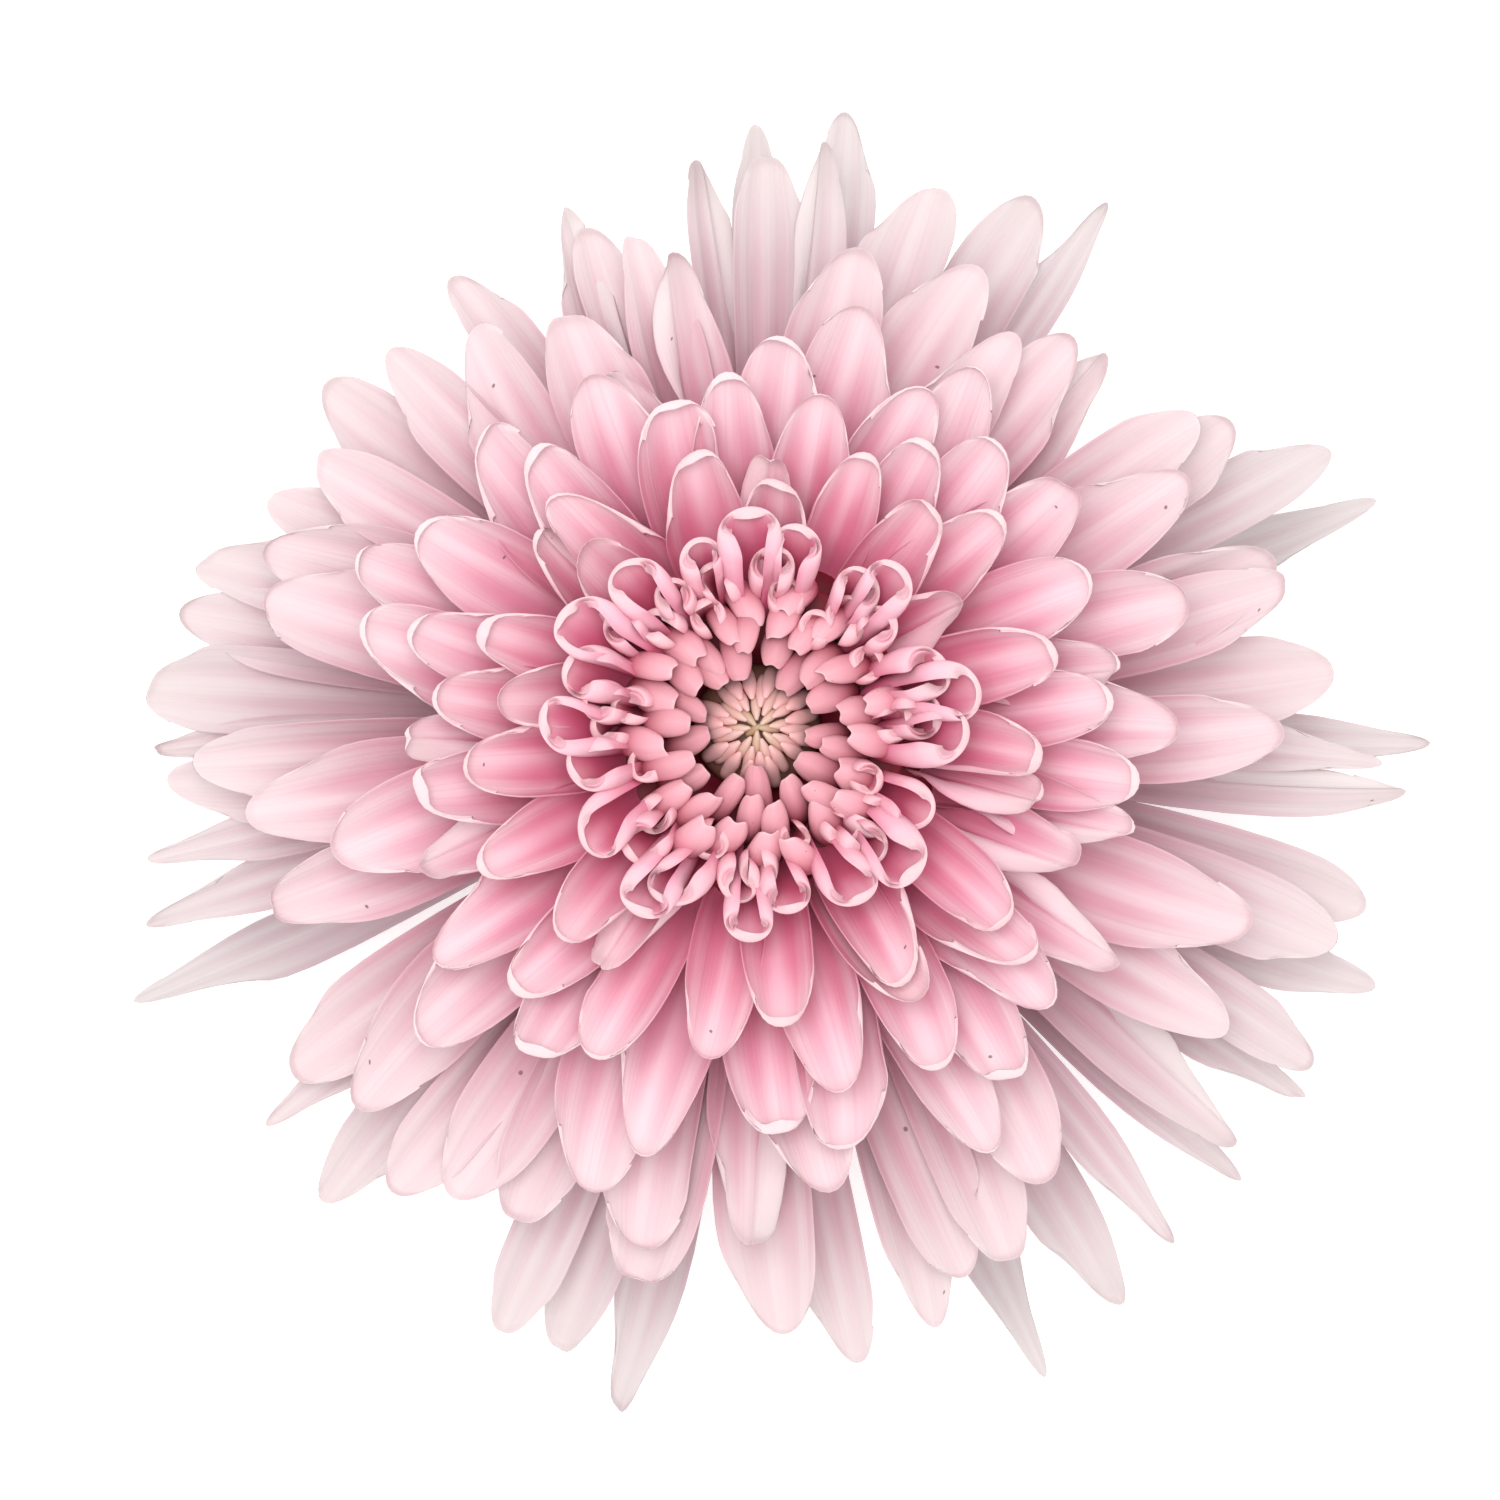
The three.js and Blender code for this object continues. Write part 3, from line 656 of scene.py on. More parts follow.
def petal_group():
    tree = bpy.data.node_groups.new("petal_colour", "ShaderNodeTree")
    for name in PETAL_KNOBS:
        tree.interface.new_socket(name, in_out="INPUT", socket_type="NodeSocketFloat")
    for name, kind in (("Colour", "Color"), ("Relief", "Float"), ("Roughness", "Float")):
        tree.interface.new_socket(name, in_out="OUTPUT", socket_type="NodeSocket" + kind)
    given = tree.nodes.new("NodeGroupInput")
    out = tree.nodes.new("NodeGroupOutput")
    graph = Graph(tree)
    deep, deep_behind, veins, groove_shade_knob, pale_edge_and_highlight = [given.outputs[name] for name in PETAL_KNOBS]
    along, across, reverse, rank, draw = [graph.mark(name) for name in LEDGERS]
    base, body, pale = [graph.ramp(rank, stops) for stops in (BASE_AND_SHADE_COLOURS, BODY_COLOURS, PALE_COLOURS)]
    slow = graph.petal_noise(graph.times(across, 1.2), along, draw, 2.0, 1.0)
    fine = graph.petal_noise(graph.times(across, 14.0), along, draw, 1.0, 2.0)
    bent = graph.math("SUBTRACT", slow, 0.5)
    drift = graph.math("MULTIPLY_ADD", bent, 0.2, across)
    wave = graph.math("COSINE", graph.times(drift, 2 * math.pi / GROOVE_SPACING))
    groove = graph.math("MULTIPLY_ADD", wave, -0.5, 0.5)
    wander = graph.math("MULTIPLY_ADD", groove, -0.1, graph.math("MULTIPLY_ADD", bent, 0.25, along))
    # Deep at the base, partly own colour and partly painted shade of the florets in front, and body colour
    # further out.
    colour = graph.mixed(graph.spread(wander, 0.4, deep), base, body)
    # The pale edge is partly own colour and partly a painted highlight where the thin edge catches the light;
    # the pale tip is the petal's own colour.
    edge = graph.spread(graph.math("ABSOLUTE", across), 0.6, 1.0)
    edge = graph.times(edge, graph.spread(along, 0.5, 0.95), pale_edge_and_highlight)
    tip = graph.times(graph.spread(along, 0.72, 1.0), 0.6)
    colour = graph.mixed(graph.math("MAXIMUM", edge, tip), colour, pale)
    # Painted shade: the grooves are darkened towards the base colour, besides their bump.
    painted_groove_shade = graph.times(groove, groove_shade_knob, graph.spread(along, 0.6, 1.0, 1.0, 0.2))
    colour = graph.mixed(painted_groove_shade, colour, base)
    lines = graph.times(graph.spread(fine, 0.45, 0.75), veins, graph.spread(along, 0.5, 1.0, 1.0, 0.3))
    colour = graph.mixed(lines, colour, base)
    # The reverse is deep at its base too, partly own colour and partly painted shade, then pales to almost
    # cream.
    behind = graph.mixed(graph.spread(along, 0.2, deep_behind), base, body)
    behind = graph.mixed(graph.spread(along, deep_behind, 1.0), behind, pale)
    colour = graph.mixed(graph.times(reverse, 0.9), colour, behind)
    colour = graph.mixed(graph.speck(along, across, draw), colour, BROWN_SPECK)
    relief = graph.math("MULTIPLY_ADD", groove, -0.8, graph.times(fine, 0.5))
    roughness = graph.math("MULTIPLY_ADD", fine, 0.2, 0.42)
    set_inputs(out, {"Colour": colour, "Relief": relief, "Roughness": roughness})
    return tree


PETAL_GROUP = petal_group()
print("the petal colour group has", len(PETAL_GROUP.nodes), "nodes")

# %% [markdown]
# ## Petal materials
#
# A petal is thin and full of water, so light sinks in and comes out again, and shaded places glow instead of
# going grey. Subsurface scattering gives that to the thick young florets of the crown. The broad rays do
# without it, because there it shows little and would make a render a fifth slower. Each group of florets has
# a material of its own, with the shared colour group and its own setting of the knobs.

# %% Petal materials
SCATTER = {"Subsurface Weight": 0.15, "Subsurface Scale": 0.8 * MM}
ROSY_SCATTER = SCATTER | {"Subsurface Radius": (1.0, 0.45, 0.5)}
RELIEF_DEPTH = 0.15 * MM
PETAL_SHINE = 0.3


def petal_material(name, knobs, relief, scatter):
    material, graph, shader = new_material(name)
    petal = graph.node("Group", dict(zip(PETAL_KNOBS, knobs)), node_tree=PETAL_GROUP).outputs
    height = {"Strength": relief, "Distance": RELIEF_DEPTH, "Height": petal["Relief"]}
    normal = graph.node("Bump", height).outputs["Normal"]
    set_inputs(shader, {"Base Color": petal["Colour"], "Roughness": petal["Roughness"], "Normal": normal})
    set_inputs(shader, {"Specular IOR Level": PETAL_SHINE} | scatter)
    return material


PALE_PETAL = petal_material("pale_petal_skin", (0.85, 0.6, 0.35, 0.42, 0.1), 0.7, {})
PINK_PETAL = petal_material("pink_petal_skin", (0.93, 0.6, 0.4, 0.42, 0.06), 0.8, {})
SPOON_PETAL = petal_material("spoon_petal_skin", (0.88, 0.55, 0.2, 0.1, 0.5), 0.4, ROSY_SCATTER)
# The hoods keep the deep colour nearly to their tips on face and back: partly their own colour, partly
# painted shade for their shaded sides and the gaps between them.
HOOD_PETAL = petal_material("hood_petal_skin", (0.9, 0.93, 0.25, 0.15, 0.3), 0.5, ROSY_SCATTER)
print("four petal materials share one group of", len(PETAL_KNOBS), "knobs")

# %% [markdown]
# ## The flesh of the head
#
# The florets sit on a fleshy disc. Between them it shows only as deep crimson gaps, but without it one could
# look through the bloom. Its deep crimson is painted shade: it takes the darkest petal colour, that of the
# shade in those gaps. Its borders follow the path of a plain ray, so each layer of flesh lies between two
# bowls. A profile of a few points is spun round the axis.

# %% Ranks of rays and the flesh between them
OUTER_RANK = 65
ROOT = {"reach": 7, "height": 19.5}
STEEPEST_START = 74
STEEPEST_RANK = 18
OUTER_END = -34
CROWN_RANK = 12
CROWN_HEIGHT = 52
CROWN_DROP = 46
CROWN_POWER = 1.9
CLEARANCE = 0.3
PALE_BORDER = 47
PINK_BORDER = 25.2
UNDERSIDE_RANK = 75
TURN_STEPS = 32


def ray_shape(rank, stretch=1, lift=0):
    """Where a ray of one rank starts and ends. The lower it grows, the flatter it leaves the head."""
    inwards = OUTER_RANK - rank
    outwards = max(0, (rank - CROWN_RANK) / (OUTER_RANK - CROWN_RANK))
    return {
        "root": (ROOT["reach"] - 0.08 * inwards, ROOT["height"] + 0.25 * inwards + lift),
        "start": STEEPEST_START - 1.45 * (rank - STEEPEST_RANK),
        "tip": (rank * stretch, CROWN_HEIGHT - CROWN_DROP * outwards ** CROWN_POWER + lift),
        "end": OUTER_END + inwards + 0.0135 * inwards * inwards,
    }


def border(rank, lift, end):
    """Points of a bowl-shaped border, from the axis out to a share of its path."""
    path = FloretPath(**ray_shape(rank))
    places = [path.at(i / 5 * end) for i in range(6)]
    return [(0, path.points[0][1] + lift)] + [(r, z + lift) for r, z, _ in places]


def add_flesh(bm, low, high):
    """Spins the flesh between two borders, each given as (rank, end)."""
    profile = border(low[0], CLEARANCE / 2, low[1]) + border(high[0], -CLEARANCE / 2, high[1])[::-1]
    lathe(bm, profile, TURN_STEPS)


print(f"the pale layer's flesh reaches {border(PALE_BORDER, 0, 0.4)[-1][0]:.1f} mm from the axis")

# %% [markdown]
# ## The rays
#
# The outermost rays follow the photograph's outline, each with its own direction, reach, width and point.
# The others follow the golden angle. Four of the outermost sag to the surface and carry the bloom there.

# %% Rays by rank
LEAN_SHARE = 0.07
LEAN_TOWARDS = -80
WIDTHS = [(25, 7.8), (30, 8.6), (36, 9.6), (45, 10.8)]
CHANNELS = [(26, 76), (34, 64), (45, 52), (56, 42), (70, 32)]
SHARE_STEP = 0.01
ROOT_SUNK = 0.06
CURLED_SHARE = 0.11
FOLDED_OVER = 150
LEAST_HOOK = 5
LARGEST_HOOK = 165
LIPLESS_RANK = 56
FULL_LIP_AFTER = 28
NEIGHBOUR_LIFT = 1.2
LOWEST_FREE_TIP = 2.2
RESTING_DIRECTIONS = (89.3, 18.9, -66.4, -154.9)
RESTING = {"tip": 0.75, "dip": 6.2}
RESTING_TRAITS = {"rests": True, "roll": 0, "twist": 0, "roll_in": (0, 0), "channel": math.radians(10)}
PETAL_THICKNESS = 0.42
OUTERMOST_FIRST = 200
OUTERMOST_RAYS = [
    (93.6, 58.4, 6, 0.8), (89.3, 61.6, 6, 0.5), (88.2, 57.2, 8.5, 0.2), (83.1, 58.7, 7.5, 0.4),
    (78.6, 61.2, 7, 0.4), (72.8, 56.8, 10.5, 0), (63.7, 58.9, 9.5, 0.2), (56.5, 62.1, 5.5, 0.9),
    (46.7, 52.2, 9.5, 0.1), (36.6, 53.3, 8.5, 0), (29.5, 55.5, 9, 0), (25.1, 63.3, 8, 0.3),
    (18.9, 67.1, 8.5, 1), (12.5, 54.3, 9, 0.3), (4.8, 57.5, 10, 0.1), (-0.6, 62.3, 7, 1),
    (-1.9, 66.3, 7, 1), (-8.2, 64.4, 6.5, 1), (-15, 62.6, 8, 0.1), (-20.2, 61.3, 9.5, 0.1),
    (-25.6, 66.3, 7.5, 0.5), (-29.3, 63.7, 7, 0.3), (-34.8, 66.1, 6, 0.9), (-39.2, 63.6, 10, 0.3),
    (-44.1, 65.6, 6.5, 1), (-51, 65.2, 6, 1), (-57.3, 68.1, 8, 0.6), (-62.2, 58.5, 9.5, 0.2),
    (-66.4, 72, 7, 1), (-70.8, 61.6, 8.5, 0.4), (-83.9, 63.6, 8, 0.3), (-90.2, 59.7, 11, 0.2),
    (-99.7, 69.2, 8, 0.8), (-101, 56.2, 10.5, 0.1), (-106.6, 65.4, 9, 0.3), (-112.3, 65.1, 7.5, 0.2),
    (-118.6, 54.7, 9.5, 0.1), (-126.9, 57.8, 8.5, 0.1), (-134, 63.6, 8, 0.3), (-140.5, 62.4, 5.5, 0.9),
    (-143, 57.3, 10, 0.2), (-154.9, 69.2, 7, 1), (-163.9, 63.9, 7, 1), (-168.4, 62.2, 6, 1),
    (-172, 58.5, 8.5, 0.2), (-176.3, 56, 9, 0.2), (-180.3, 59.7, 5, 0.9), (175, 61.1, 10, 0.1),
    (168.2, 57.9, 9.5, 0.3), (160.3, 58.6, 9, 0.3), (153.5, 53.3, 8.5, 0.1), (148.7, 51.6, 8.5, 0.1),
    (143.7, 54.5, 9.5, 0.1), (134.1, 52, 9, 0.2), (120.9, 54, 7, 0.3), (112.3, 55.6, 7.5, 0.4),
    (108.3, 52.4, 8, 0.2), (102.6, 51.3, 8, 0.5),
]


def lean_at(azimuth):
    return 1 + LEAN_SHARE * math.cos(math.radians(azimuth - LEAN_TOWARDS))


def set_hook(shape, number, inner, rests):
    """Gives a ray's path the hook that makes its lip, and as much more length as the hook takes up."""
    upturned = mix(25, 135, min(1, 1.6 * inner)) + either(number, "hook", 38)
    hook = upturned - shape["end"] - shape.get("curl", 0)
    shape["hook"] = 0 if rests else min(LARGEST_HOOK, max(LEAST_HOOK, hook))
    shape["hook_length"] = mix(2, 3.2, inner) * (0.75 + 0.5 * chance(number, "notch"))
    spent = shape["hook_length"] * (1 - HOOK_BEND_SHARE / math.radians(max(60, shape["hook"])))
    spent *= 0 if rests else smoothstep(shape["hook"], 20, 90)
    shape["tip"] = (shape["tip"][0] + spent, shape["tip"][1])


def sides_of_ray(number, inner, curled):
    """How far the two sides roll in over the face, and from which line. One of them rolls in more."""
    rolled = [mix(0, 15, inner) + 25 * chance(number, name) for name in ("left", "right")]
    margins = [PLAIN_EDGE, PLAIN_EDGE]
    more = int(chance(number, "side") < 0.5)
    rolled[more] += mix(40, 80, inner) * chance(number, "left")
    if curled:
        rolled[more] = FOLDED_OVER
        margins[more] = FOLDED_EDGE
    return [math.radians(v) for v in rolled], margins


def make_ray(number, rank, azimuth, reach=None, width=None, pointed=None, lift=0):
    """One ray: its place, its path and the sizes that its skin is made from."""
    rests = azimuth in RESTING_DIRECTIONS
    curled = not rests and chance(number, "curled") < CURLED_SHARE
    shape = ray_shape(rank, reach / rank if reach else lean_at(azimuth), lift)
    if rests:
        shape["tip"] = (shape["tip"][0], RESTING["tip"])
        shape["end"] = math.degrees(math.asin(RESTING["dip"] / (LAG * reach)))
    else:
        free = LOWEST_FREE_TIP + 3 * chance(number, "height")
        shape["tip"] = (shape["tip"][0], max(shape["tip"][1], free))
        shape["curl"] = either(number, "curl", 30) + 95 if curled else either(number, "curl", 14) + 8
    inner = 0 if rests else min(1, max(0, (LIPLESS_RANK - rank) / FULL_LIP_AFTER))
    set_hook(shape, number, inner, rests)
    rolled, margins = sides_of_ray(number, inner, curled)
    blunt_or_pointed = 0.1 + 0.3 * chance(number, "point") if pointed is None else max(0.1, pointed)
    return {
        **drawn_traits(number, rank, sweep=3 if reach else 6, roll=9, twist=16, skew=0.3),
        "azimuth": azimuth,
        "path": FloretPath(**shape),
        "width": width or read(WIDTHS, rank) * (1 + either(number, "width", 0.09)),
        "pointed": 0.5 if curled else blunt_or_pointed,
        "channel": math.radians(read(CHANNELS, rank) * (1 + either(number, "channel", 0.15))),
        "notch": 0.16 * chance(number, "notch") ** 3,
        "tip_cup": math.radians(mix(18, 45, inner)),
        "roll_in": rolled,
        "margins": margins,
        "tip_flat": 0.1 if curled else 1,
        "unrolling": (0, 0.62),
        "round_lip": True,
        "bow": 0.46,
        "thickness": PETAL_THICKNESS,
        "ribs": 0.2 + 0.25 * chance(number, "channel"),
        **(RESTING_TRAITS if rests else {}),
    }


def zone_of_rays(first, count, ranks):
    rays = []
    for number in range(first, first + count):
        rank = mix(*ranks, (number - first) / (count - 1)) + either(number, "rank", 1.3)
        rank = min(ranks[1], max(ranks[0], rank))
        rays.append(make_ray(number, rank, number * GOLDEN_ANGLE + either(number, "turn", 3.5)))
    return rays


def outermost_rays():
    rays = []
    for i, (azimuth, reach, width, pointed) in enumerate(OUTERMOST_RAYS):
        lift = NEIGHBOUR_LIFT if i % 2 else -NEIGHBOUR_LIFT
        rank = reach / lean_at(azimuth)
        rays.append(make_ray(OUTERMOST_FIRST + i, rank, azimuth, reach, width, pointed, lift))
    return rays


def start_inside(ray, low, high):
    """The share of a ray's path at which it comes out of the flesh, less a little for its root."""
    start, end = (FloretPath(**ray_shape(rank)).at(share)[:2] for rank, share in (low, high))
    share = 0
    while share < 1:
        r, z, _ = ray["path"].at(share)
        if (r - start[0]) * (end[1] - start[1]) > (z - start[1]) * (end[0] - start[0]):
            break
        share += SHARE_STEP
    return max(0, share - ROOT_SUNK)


def ray_rows(ray, start):
    """Shares of a ray's path where its skin has rows, closer together towards the tip."""
    closing = closing_share(ray)
    full = 1 - closing
    hook = ray["path"].hook_share
    body = [mix(start, full, share) for share in (0, 0.45, 0.8, 1)]
    return body + [mix(full, 1 - hook, 0.55), 1 - hook, 1 - 0.66 * hook, 1 - 0.33 * hook, 1]


def add_rays(bm, rays, low, high):
    for ray in rays:
        wrap_floret(bm, ray, ray_rows(ray, start_inside(ray, low, high)))


# %% The pale outer rays
PALE_LOW, PALE_HIGH = (UNDERSIDE_RANK, 0.08), (PALE_BORDER, 0.4)
PINK_LOW, PINK_HIGH = (PALE_BORDER, 0.4), (PINK_BORDER, 0.6)
pale = new_piece()
add_rays(pale, outermost_rays() + zone_of_rays(168, 22, (49.5, 54)), PALE_LOW, PALE_HIGH)
add_flesh(pale, PALE_LOW, PALE_HIGH)
finish_piece(pale, "outer_rays", "outer_ray_florets", PALE_PETAL, 1)

# %% The pink rays
pink = new_piece()
add_rays(pink, zone_of_rays(84, 72, (26.8, 46)), PINK_LOW, PINK_HIGH)
add_flesh(pink, PINK_LOW, PINK_HIGH)
finish_piece(pink, "middle_rays", "middle_ray_florets", PINK_PETAL, 1)

# %% [markdown]
# ## The crown
#
# Round the middle the florets are still rolled up. The outer ones of the crown are spoons: tubes with a
# mouth that opens upwards and a lip at its far end. The inner ones are hoods, which bend over towards the
# middle and show their backs. Between them stand smaller spoons with narrow, keyhole mouths. They are two
# pieces, because their skins differ: the backs of the hoods stay deep pink nearly to their tips, partly their
# own colour and partly painted shade for their shaded sides and the gaps between them.

# %% Spoons and hoods
HOODS = {"first": 0, "count": 46, "reach": (8.5, 13.8), "width": (2.5, 3.2), "heights": (46.2, 50)}
SPOONS = {"first": 48, "count": 30, "reach": (17.8, 24.6), "width": (4.4, 6.4), "heights": (51.2, 50)}
KEYHOLES = {"first": 400, "count": 18, "reach": (13.8, 17.8), "width": (3.2, 4.4)}
KEYHOLE_CHANNEL = 112
KEYHOLE_MOUTH = (0.66, 1)
HOOD_ROWS = (0, 0.3, 0.5, 0.68, 0.82, 0.93, 1)
SPOON_ROWS = (0, 0.35, 0.55, 0.66, 0.76, 0.85, 0.93, 1)
CROWN_TOP = [(14.2, 45), (7.3, 43.2), (7, 40.6), (0, 40.6)]


def make_hood(number, share):
    reach = mix(*HOODS["reach"], share) + either(number, "rank", 0.5)
    tip_height = mix(*HOODS["heights"], share) + either(number, "height", 0.9)
    path = FloretPath(
        root=(reach + 0.6, 42),
        start=88,
        tip=(reach - mix(4.3, 3.7, share) + either(number, "curled", 0.6), tip_height),
        end=mix(205, 170, share) + either(number, "curl", 26),
        lead=0.85,
        lag=0.45,
    )
    return {
        **drawn_traits(number, reach, turn=4, sweep=9, roll=20, twist=20, skew=0.4),
        "path": path,
        "width": mix(*HOODS["width"], share) * (1 + either(number, "width", 0.2)),
        "pointed": 0.15 * chance(number, "point"),
        "bow": 0.18,
        "channel": math.radians(120),
        "notch": 0.05 + 0.3 * chance(number, "notch"),
        "ribs": 0.12,
        "set_back": 0.9,
        "waist": 0.8,
        "thickness": 0.5,
    }


def rolled_floret(number, path, rank, width, channel, mouth):
    """A floret rolled up as a tube that opens in a mouth near its tip."""
    return {
        **drawn_traits(number, rank, turn=4, sweep=6, roll=10, twist=18, skew=0.25),
        "path": path,
        "width": width * (1 + either(number, "width", 0.16)),
        "pointed": 0.1,
        "channel": math.radians(channel + 40 * chance(number, "channel") ** 2),
        "notch": 0.15 * chance(number, "notch"),
        "tip_cup": math.radians(12),
        "mouth": mouth,
        "roll_in": [math.radians(35 + 45 * chance(number, name)) for name in ("left", "right")],
        "margins": (SPOON_EDGE, SPOON_EDGE),
        "waist": 0.6,
        "thickness": 0.55,
    }


def make_spoon(number, share):
    reach = mix(*SPOONS["reach"], share)
    path = FloretPath(
        root=(mix(14.3, 11.6, share), mix(43.8, 41.9, share)),
        start=mix(78, 42, share),
        tip=(reach, mix(*SPOONS["heights"], share) + either(number, "height", 0.3)),
        end=mix(70, 42, share),
        curl=mix(12, 26, share) + either(number, "curl", 10),
        hook=mix(80, 118, math.sqrt(share)) + either(number, "hook", 28),
        hook_length=mix(2.2, 3.4, share),
    )
    mouth = (mix(0.6, 0.48, share) + 0.16 * chance(number, "left"), mix(0.98, 0.86, share))
    return rolled_floret(number, path, reach, mix(*SPOONS["width"], share), mix(112, 94, share), mouth)


def make_keyhole(number, share):
    """A young spoon between the hoods and the spoons: a short upright tube with a small mouth."""
    reach = mix(*KEYHOLES["reach"], share)
    path = FloretPath(
        root=(reach - 2.8, 42.5),
        start=84,
        tip=(reach, 50.4 + either(number, "height", 0.5)),
        end=50,
        curl=either(number, "curl", 10),
        hook=90 + either(number, "hook", 25),
        hook_length=2,
    )
    width = mix(*KEYHOLES["width"], share)
    return rolled_floret(number, path, reach, width, KEYHOLE_CHANNEL, KEYHOLE_MOUTH)


crown = new_piece()
spoons = new_piece()
for number, share in in_turn(HOODS):
    wrap_floret(crown, make_hood(number, share), HOOD_ROWS)
for number, share in in_turn(KEYHOLES):
    wrap_floret(spoons, make_keyhole(number, share), SPOON_ROWS)
for number, share in in_turn(SPOONS):
    wrap_floret(spoons, make_spoon(number, share), SPOON_ROWS)
finish_piece(spoons, "crown_spoons", "crown_florets", SPOON_PETAL, 2)
lathe(crown, border(PINK_BORDER, CLEARANCE / 2, 0.6) + CROWN_TOP, TURN_STEPS)
finish_piece(crown, "crown_hoods", "crown_florets", HOOD_PETAL, 2)

# %% [markdown]
# ## The closed centre
#
# The youngest florets are shut, cream to olive, and lie inwards up a low dome. Their roots and the dome
# between them are darkened with painted shade.

# %% Centre florets on their dome
CENTRE_ROWS = (0.05, 0.3, 0.55, 0.75, 0.9, 1)
DOME = {"radius": 6.3, "foot": 40.9, "rim": 42.6, "top": 45.4}
CENTRE = {"first": 300, "count": 40, "reach": (-0.9, 3), "root": (1.3, 6.7), "width": (1, 1.9)}


def dome_height(r):
    return DOME["top"] - (DOME["top"] - DOME["rim"]) * (r / DOME["radius"]) ** 2


def make_centre_floret(number, share):
    tip = mix(*CENTRE["reach"], share ** 0.6) + either(number, "rank", 0.15)
    root = min(DOME["radius"] - 0.1, mix(*CENTRE["root"], share ** 0.45))
    height = dome_height(tip) + 0.5 + 0.5 * share
    return {
        **drawn_traits(number, root, turn=5),
        "path": FloretPath((root, dome_height(root) - 0.3), 130, (tip, height), 184),
        "width": mix(*CENTRE["width"], share),
        "pointed": 0.5,
        "channel": 0.1,
        "notch": 0.1,
        "waist": 0.75,
        "thickness": 1.2,
        "plump": True,
    }


OLIVE_CREAM = linear(178, 148, 116)
ROSY_CREAM = linear(236, 176, 180)


def centre_material():
    material, graph, shader = new_material("closed_floret_skin")
    colour = graph.ramp(
        graph.spread(graph.mark("rank"), 0.02, 0.1),
        [(0, OLIVE_CREAM), (0.25, linear(214, 182, 164)), (0.6, linear(222, 180, 174)), (1, ROSY_CREAM)],
    )
    # Painted shade: each closed floret, and the dome under them, turns deep brown-crimson towards its root,
    # where the shade between the florets falls.
    root_shade = graph.spread(graph.mark("along"), 0.0, 0.35, 1.0, 0.0)
    colour = graph.mixed(graph.times(root_shade, 0.9), colour, linear(92, 38, 36))
    grain = graph.noise(graph.object_place(), 900.0)
    colour = graph.mixed(graph.times(grain, 0.2), colour, linear(204, 168, 140))
    roughness = graph.math("MULTIPLY_ADD", grain, 0.2, 0.45)
    set_inputs(shader, {"Base Color": colour, "Roughness": roughness} | SCATTER)
    return material


centre = new_piece()
for number, share in in_turn(CENTRE):
    wrap_floret(centre, make_centre_floret(number, share), CENTRE_ROWS)
slope = [1, 0.8, 0.55, 0.3, 0]
dome = [(0, DOME["foot"]), (DOME["radius"], DOME["foot"])]
dome += [(DOME["radius"] * share, dome_height(DOME["radius"] * share)) for share in slope]
lathe(centre, dome, TURN_STEPS, 0)
finish_piece(centre, "closed_centre", "centre_florets", centre_material(), 2)

# %% [markdown]
# ## The cup and the stalk
#
# Under the bloom two rows of green bracts make a cup, on a short ribbed stub of stalk that was cut square.

# %% Cup, bracts and stalk
STALK_PROFILE = [(0, 0), (3.3, 0), (3.3, 6.5), (4.4, 8.6), (6.9, 12), (7.6, 16.6), (0, 16.6)]
BRACT_RANK = 35
STALK_RIBS = {"count": 5, "depth": 0.22, "up to": 7}
BRACT_ROWS = [
    {"count": 13, "root": (4, 9.6), "tip": (9.4, 13.4), "width": 3.6, "start": 8, "end": 58, "turn": 0},
    {"count": 13, "root": (5.6, 12.6), "tip": (12, 15.4), "width": 4, "start": 2, "end": 40, "turn": 14},
]


def rib_the_stalk(bm):
    """Moves the vertices of the stub in and out, which makes its low ribs."""
    for vert in bm.verts:
        place = vert.co - BLOOM_AXIS
        if place.z < STALK_RIBS["up to"] * MM and place.xy.length > WELD:
            wave = math.cos(STALK_RIBS["count"] * math.atan2(place.y, place.x))
            grown = 1 + STALK_RIBS["depth"] * wave / STALK_PROFILE[1][0]
            vert.co.xy = BLOOM_AXIS.xy + place.xy * grown


def make_bract(row, i):
    return {
        **drawn_traits(i, BRACT_RANK),
        "azimuth": i * 360 / row["count"] + row["turn"],
        "path": FloretPath(row["root"], row["start"], row["tip"], row["end"]),
        "width": row["width"],
        "pointed": 0.7,
        "channel": 0.5,
        "notch": 0,
        "thickness": 0.6,
    }


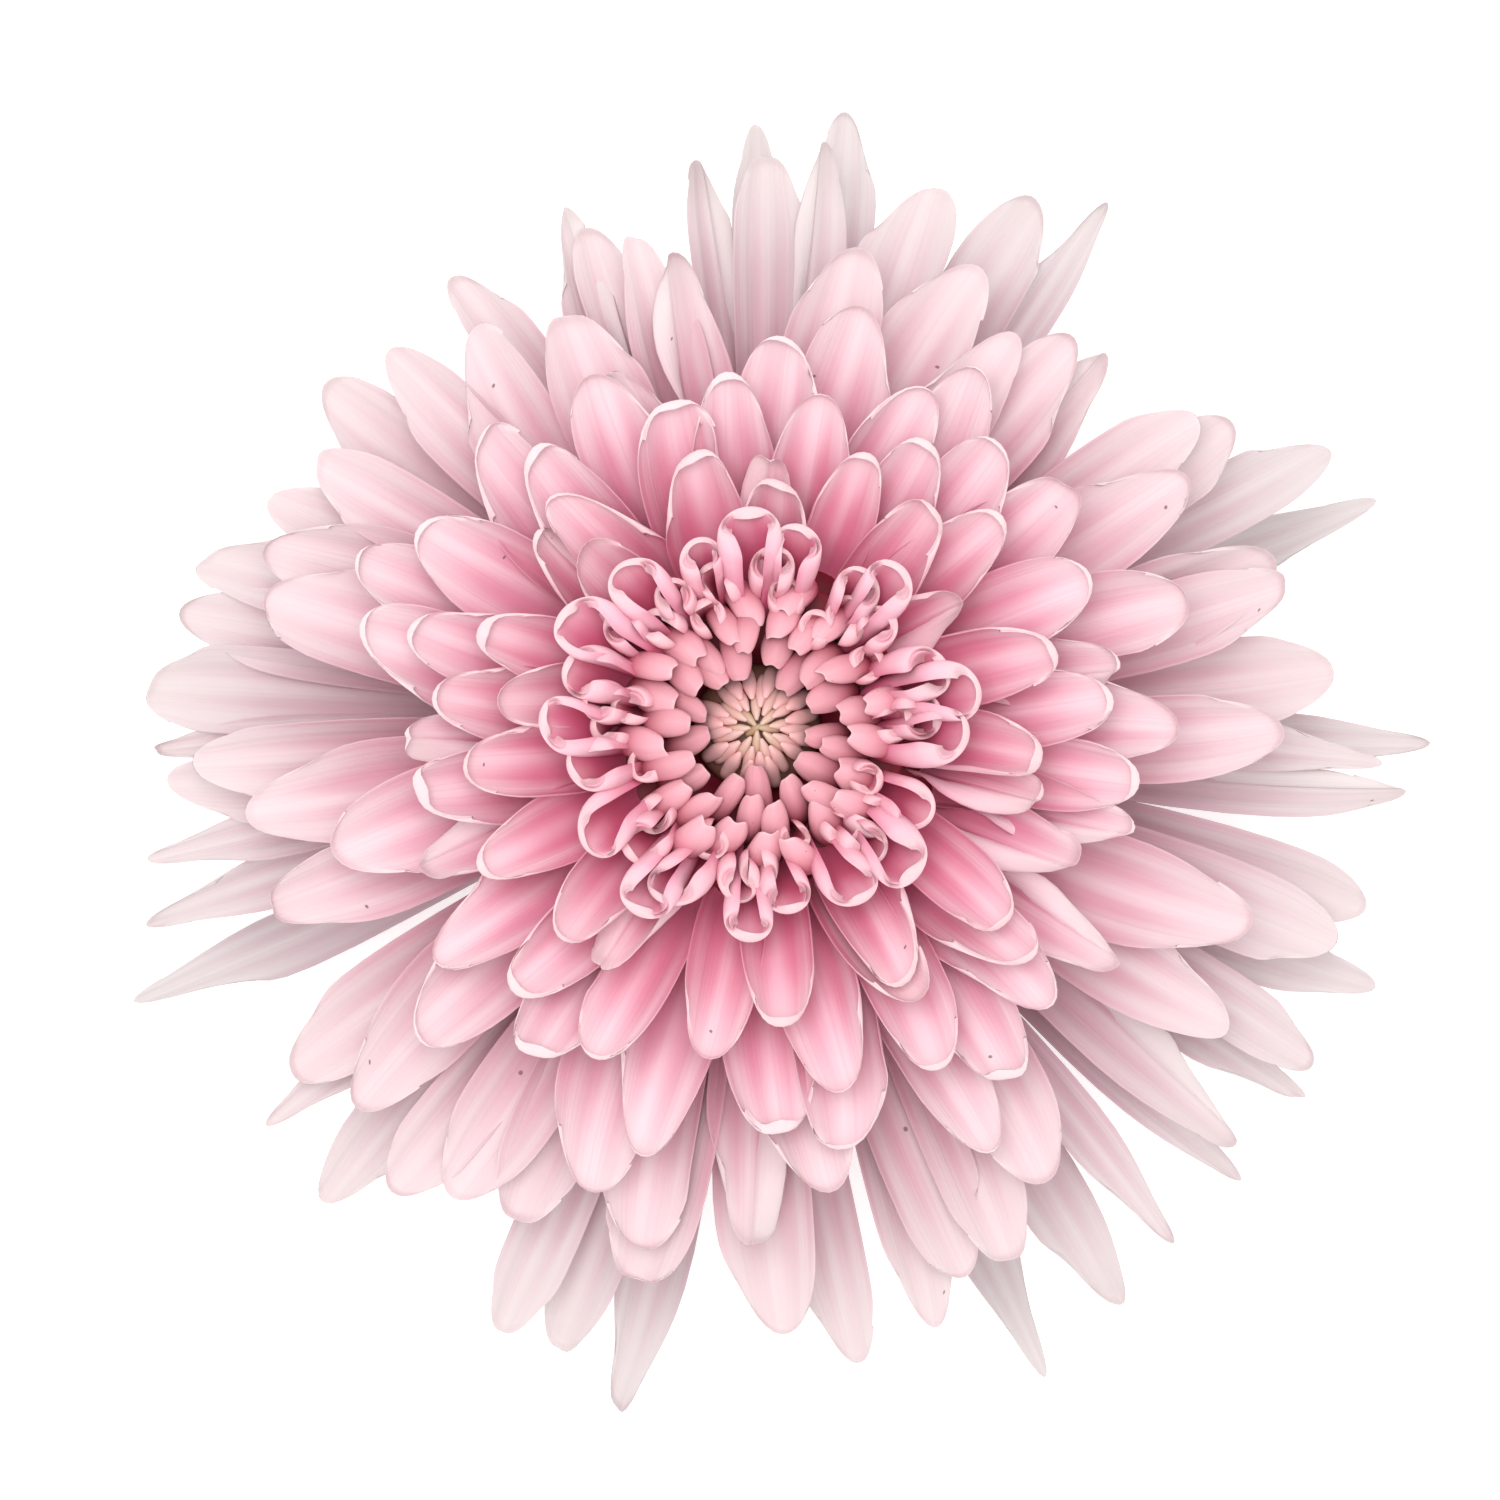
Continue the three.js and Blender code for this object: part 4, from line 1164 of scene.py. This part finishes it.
def green_material():
    material, graph, shader = new_material("green_skin")
    place = graph.object_place()
    grain = graph.noise(place, 400.0, 4.0)
    colour = graph.mixed(grain, linear(104, 132, 66), linear(150, 172, 106))
    edge = graph.spread(graph.math("ABSOLUTE", graph.mark("across")), 0.7, 1.0)
    colour = graph.mixed(edge, colour, linear(196, 190, 150))
    height = graph.node("SeparateXYZ", {0: place}).outputs["Z"]
    cut = graph.spread(height, 0.1 * MM, 0.4 * MM, 0.9, 0.0)
    colour = graph.mixed(cut, colour, linear(214, 216, 170))
    set_inputs(shader, {"Base Color": colour, "Roughness": 0.6})
    return material


green = new_piece()
lathe(green, STALK_PROFILE, TURN_STEPS)
rib_the_stalk(green)
for row in BRACT_ROWS:
    for i in range(row["count"]):
        wrap_floret(green, make_bract(row, i), [0, 0.25, 0.5, 0.7, 0.88, 1])
finish_piece(green, "cup_and_stub", "cup_and_stalk", green_material(), 2)

# %% [markdown]
# ## Down on the stalk
#
# The stalk of a chrysanthemum is downy: short pale hairs stand out from it all round. Each hair here is a
# three-sided cone with its root sunk into the stub. A particle system would be quicker to set up, but hairs
# of real faces go wherever the model goes, and cones this simple cost next to nothing.

# %% Hairs on the stub
HAIRS = {"count": 170, "from": 0.7, "to": 8.2, "length": 0.55, "radius": 0.045, "sunk": 0.12}
STALK_RADII = [(z, r) for r, z in STALK_PROFILE[1:-1]]


def add_hair(bm, i):
    """One hair, pointing outwards and a little up."""
    azimuth = math.radians(i * GOLDEN_ANGLE)
    height = mix(HAIRS["from"], HAIRS["to"], i / HAIRS["count"])
    length = HAIRS["length"] * (0.7 + 0.6 * chance(i, "height"))
    out = Vector((math.cos(azimuth), math.sin(azimuth), 0.3 + either(i, "curl", 0.3))).normalized()
    foot = Vector((out.x, out.y, 0)).normalized() * (read(STALK_RADII, height) - HAIRS["sunk"])
    middle = foot + Vector((0, 0, height)) + out * length / 2
    turned = out.to_track_quat("Z", "Y").to_matrix().to_4x4()
    turned.translation = middle * MM + BLOOM_AXIS
    size = {"radius1": HAIRS["radius"] * MM, "radius2": 0.1 * HAIRS["radius"] * MM, "depth": length * MM}
    bmesh.ops.create_cone(bm, cap_ends=True, segments=3, matrix=turned, **size)


def down_material():
    material, graph, shader = new_material("pale_down")
    grain = graph.noise(graph.object_place(), 700.0)
    colour = graph.mixed(grain, linear(206, 214, 178), linear(238, 238, 220))
    set_inputs(shader, {"Base Color": colour, "Roughness": 0.5})
    return material


down = new_piece()
for i in range(HAIRS["count"]):
    add_hair(down, i)
finish_piece(down, "stub_hairs", "cup_and_stalk", down_material(), 0)
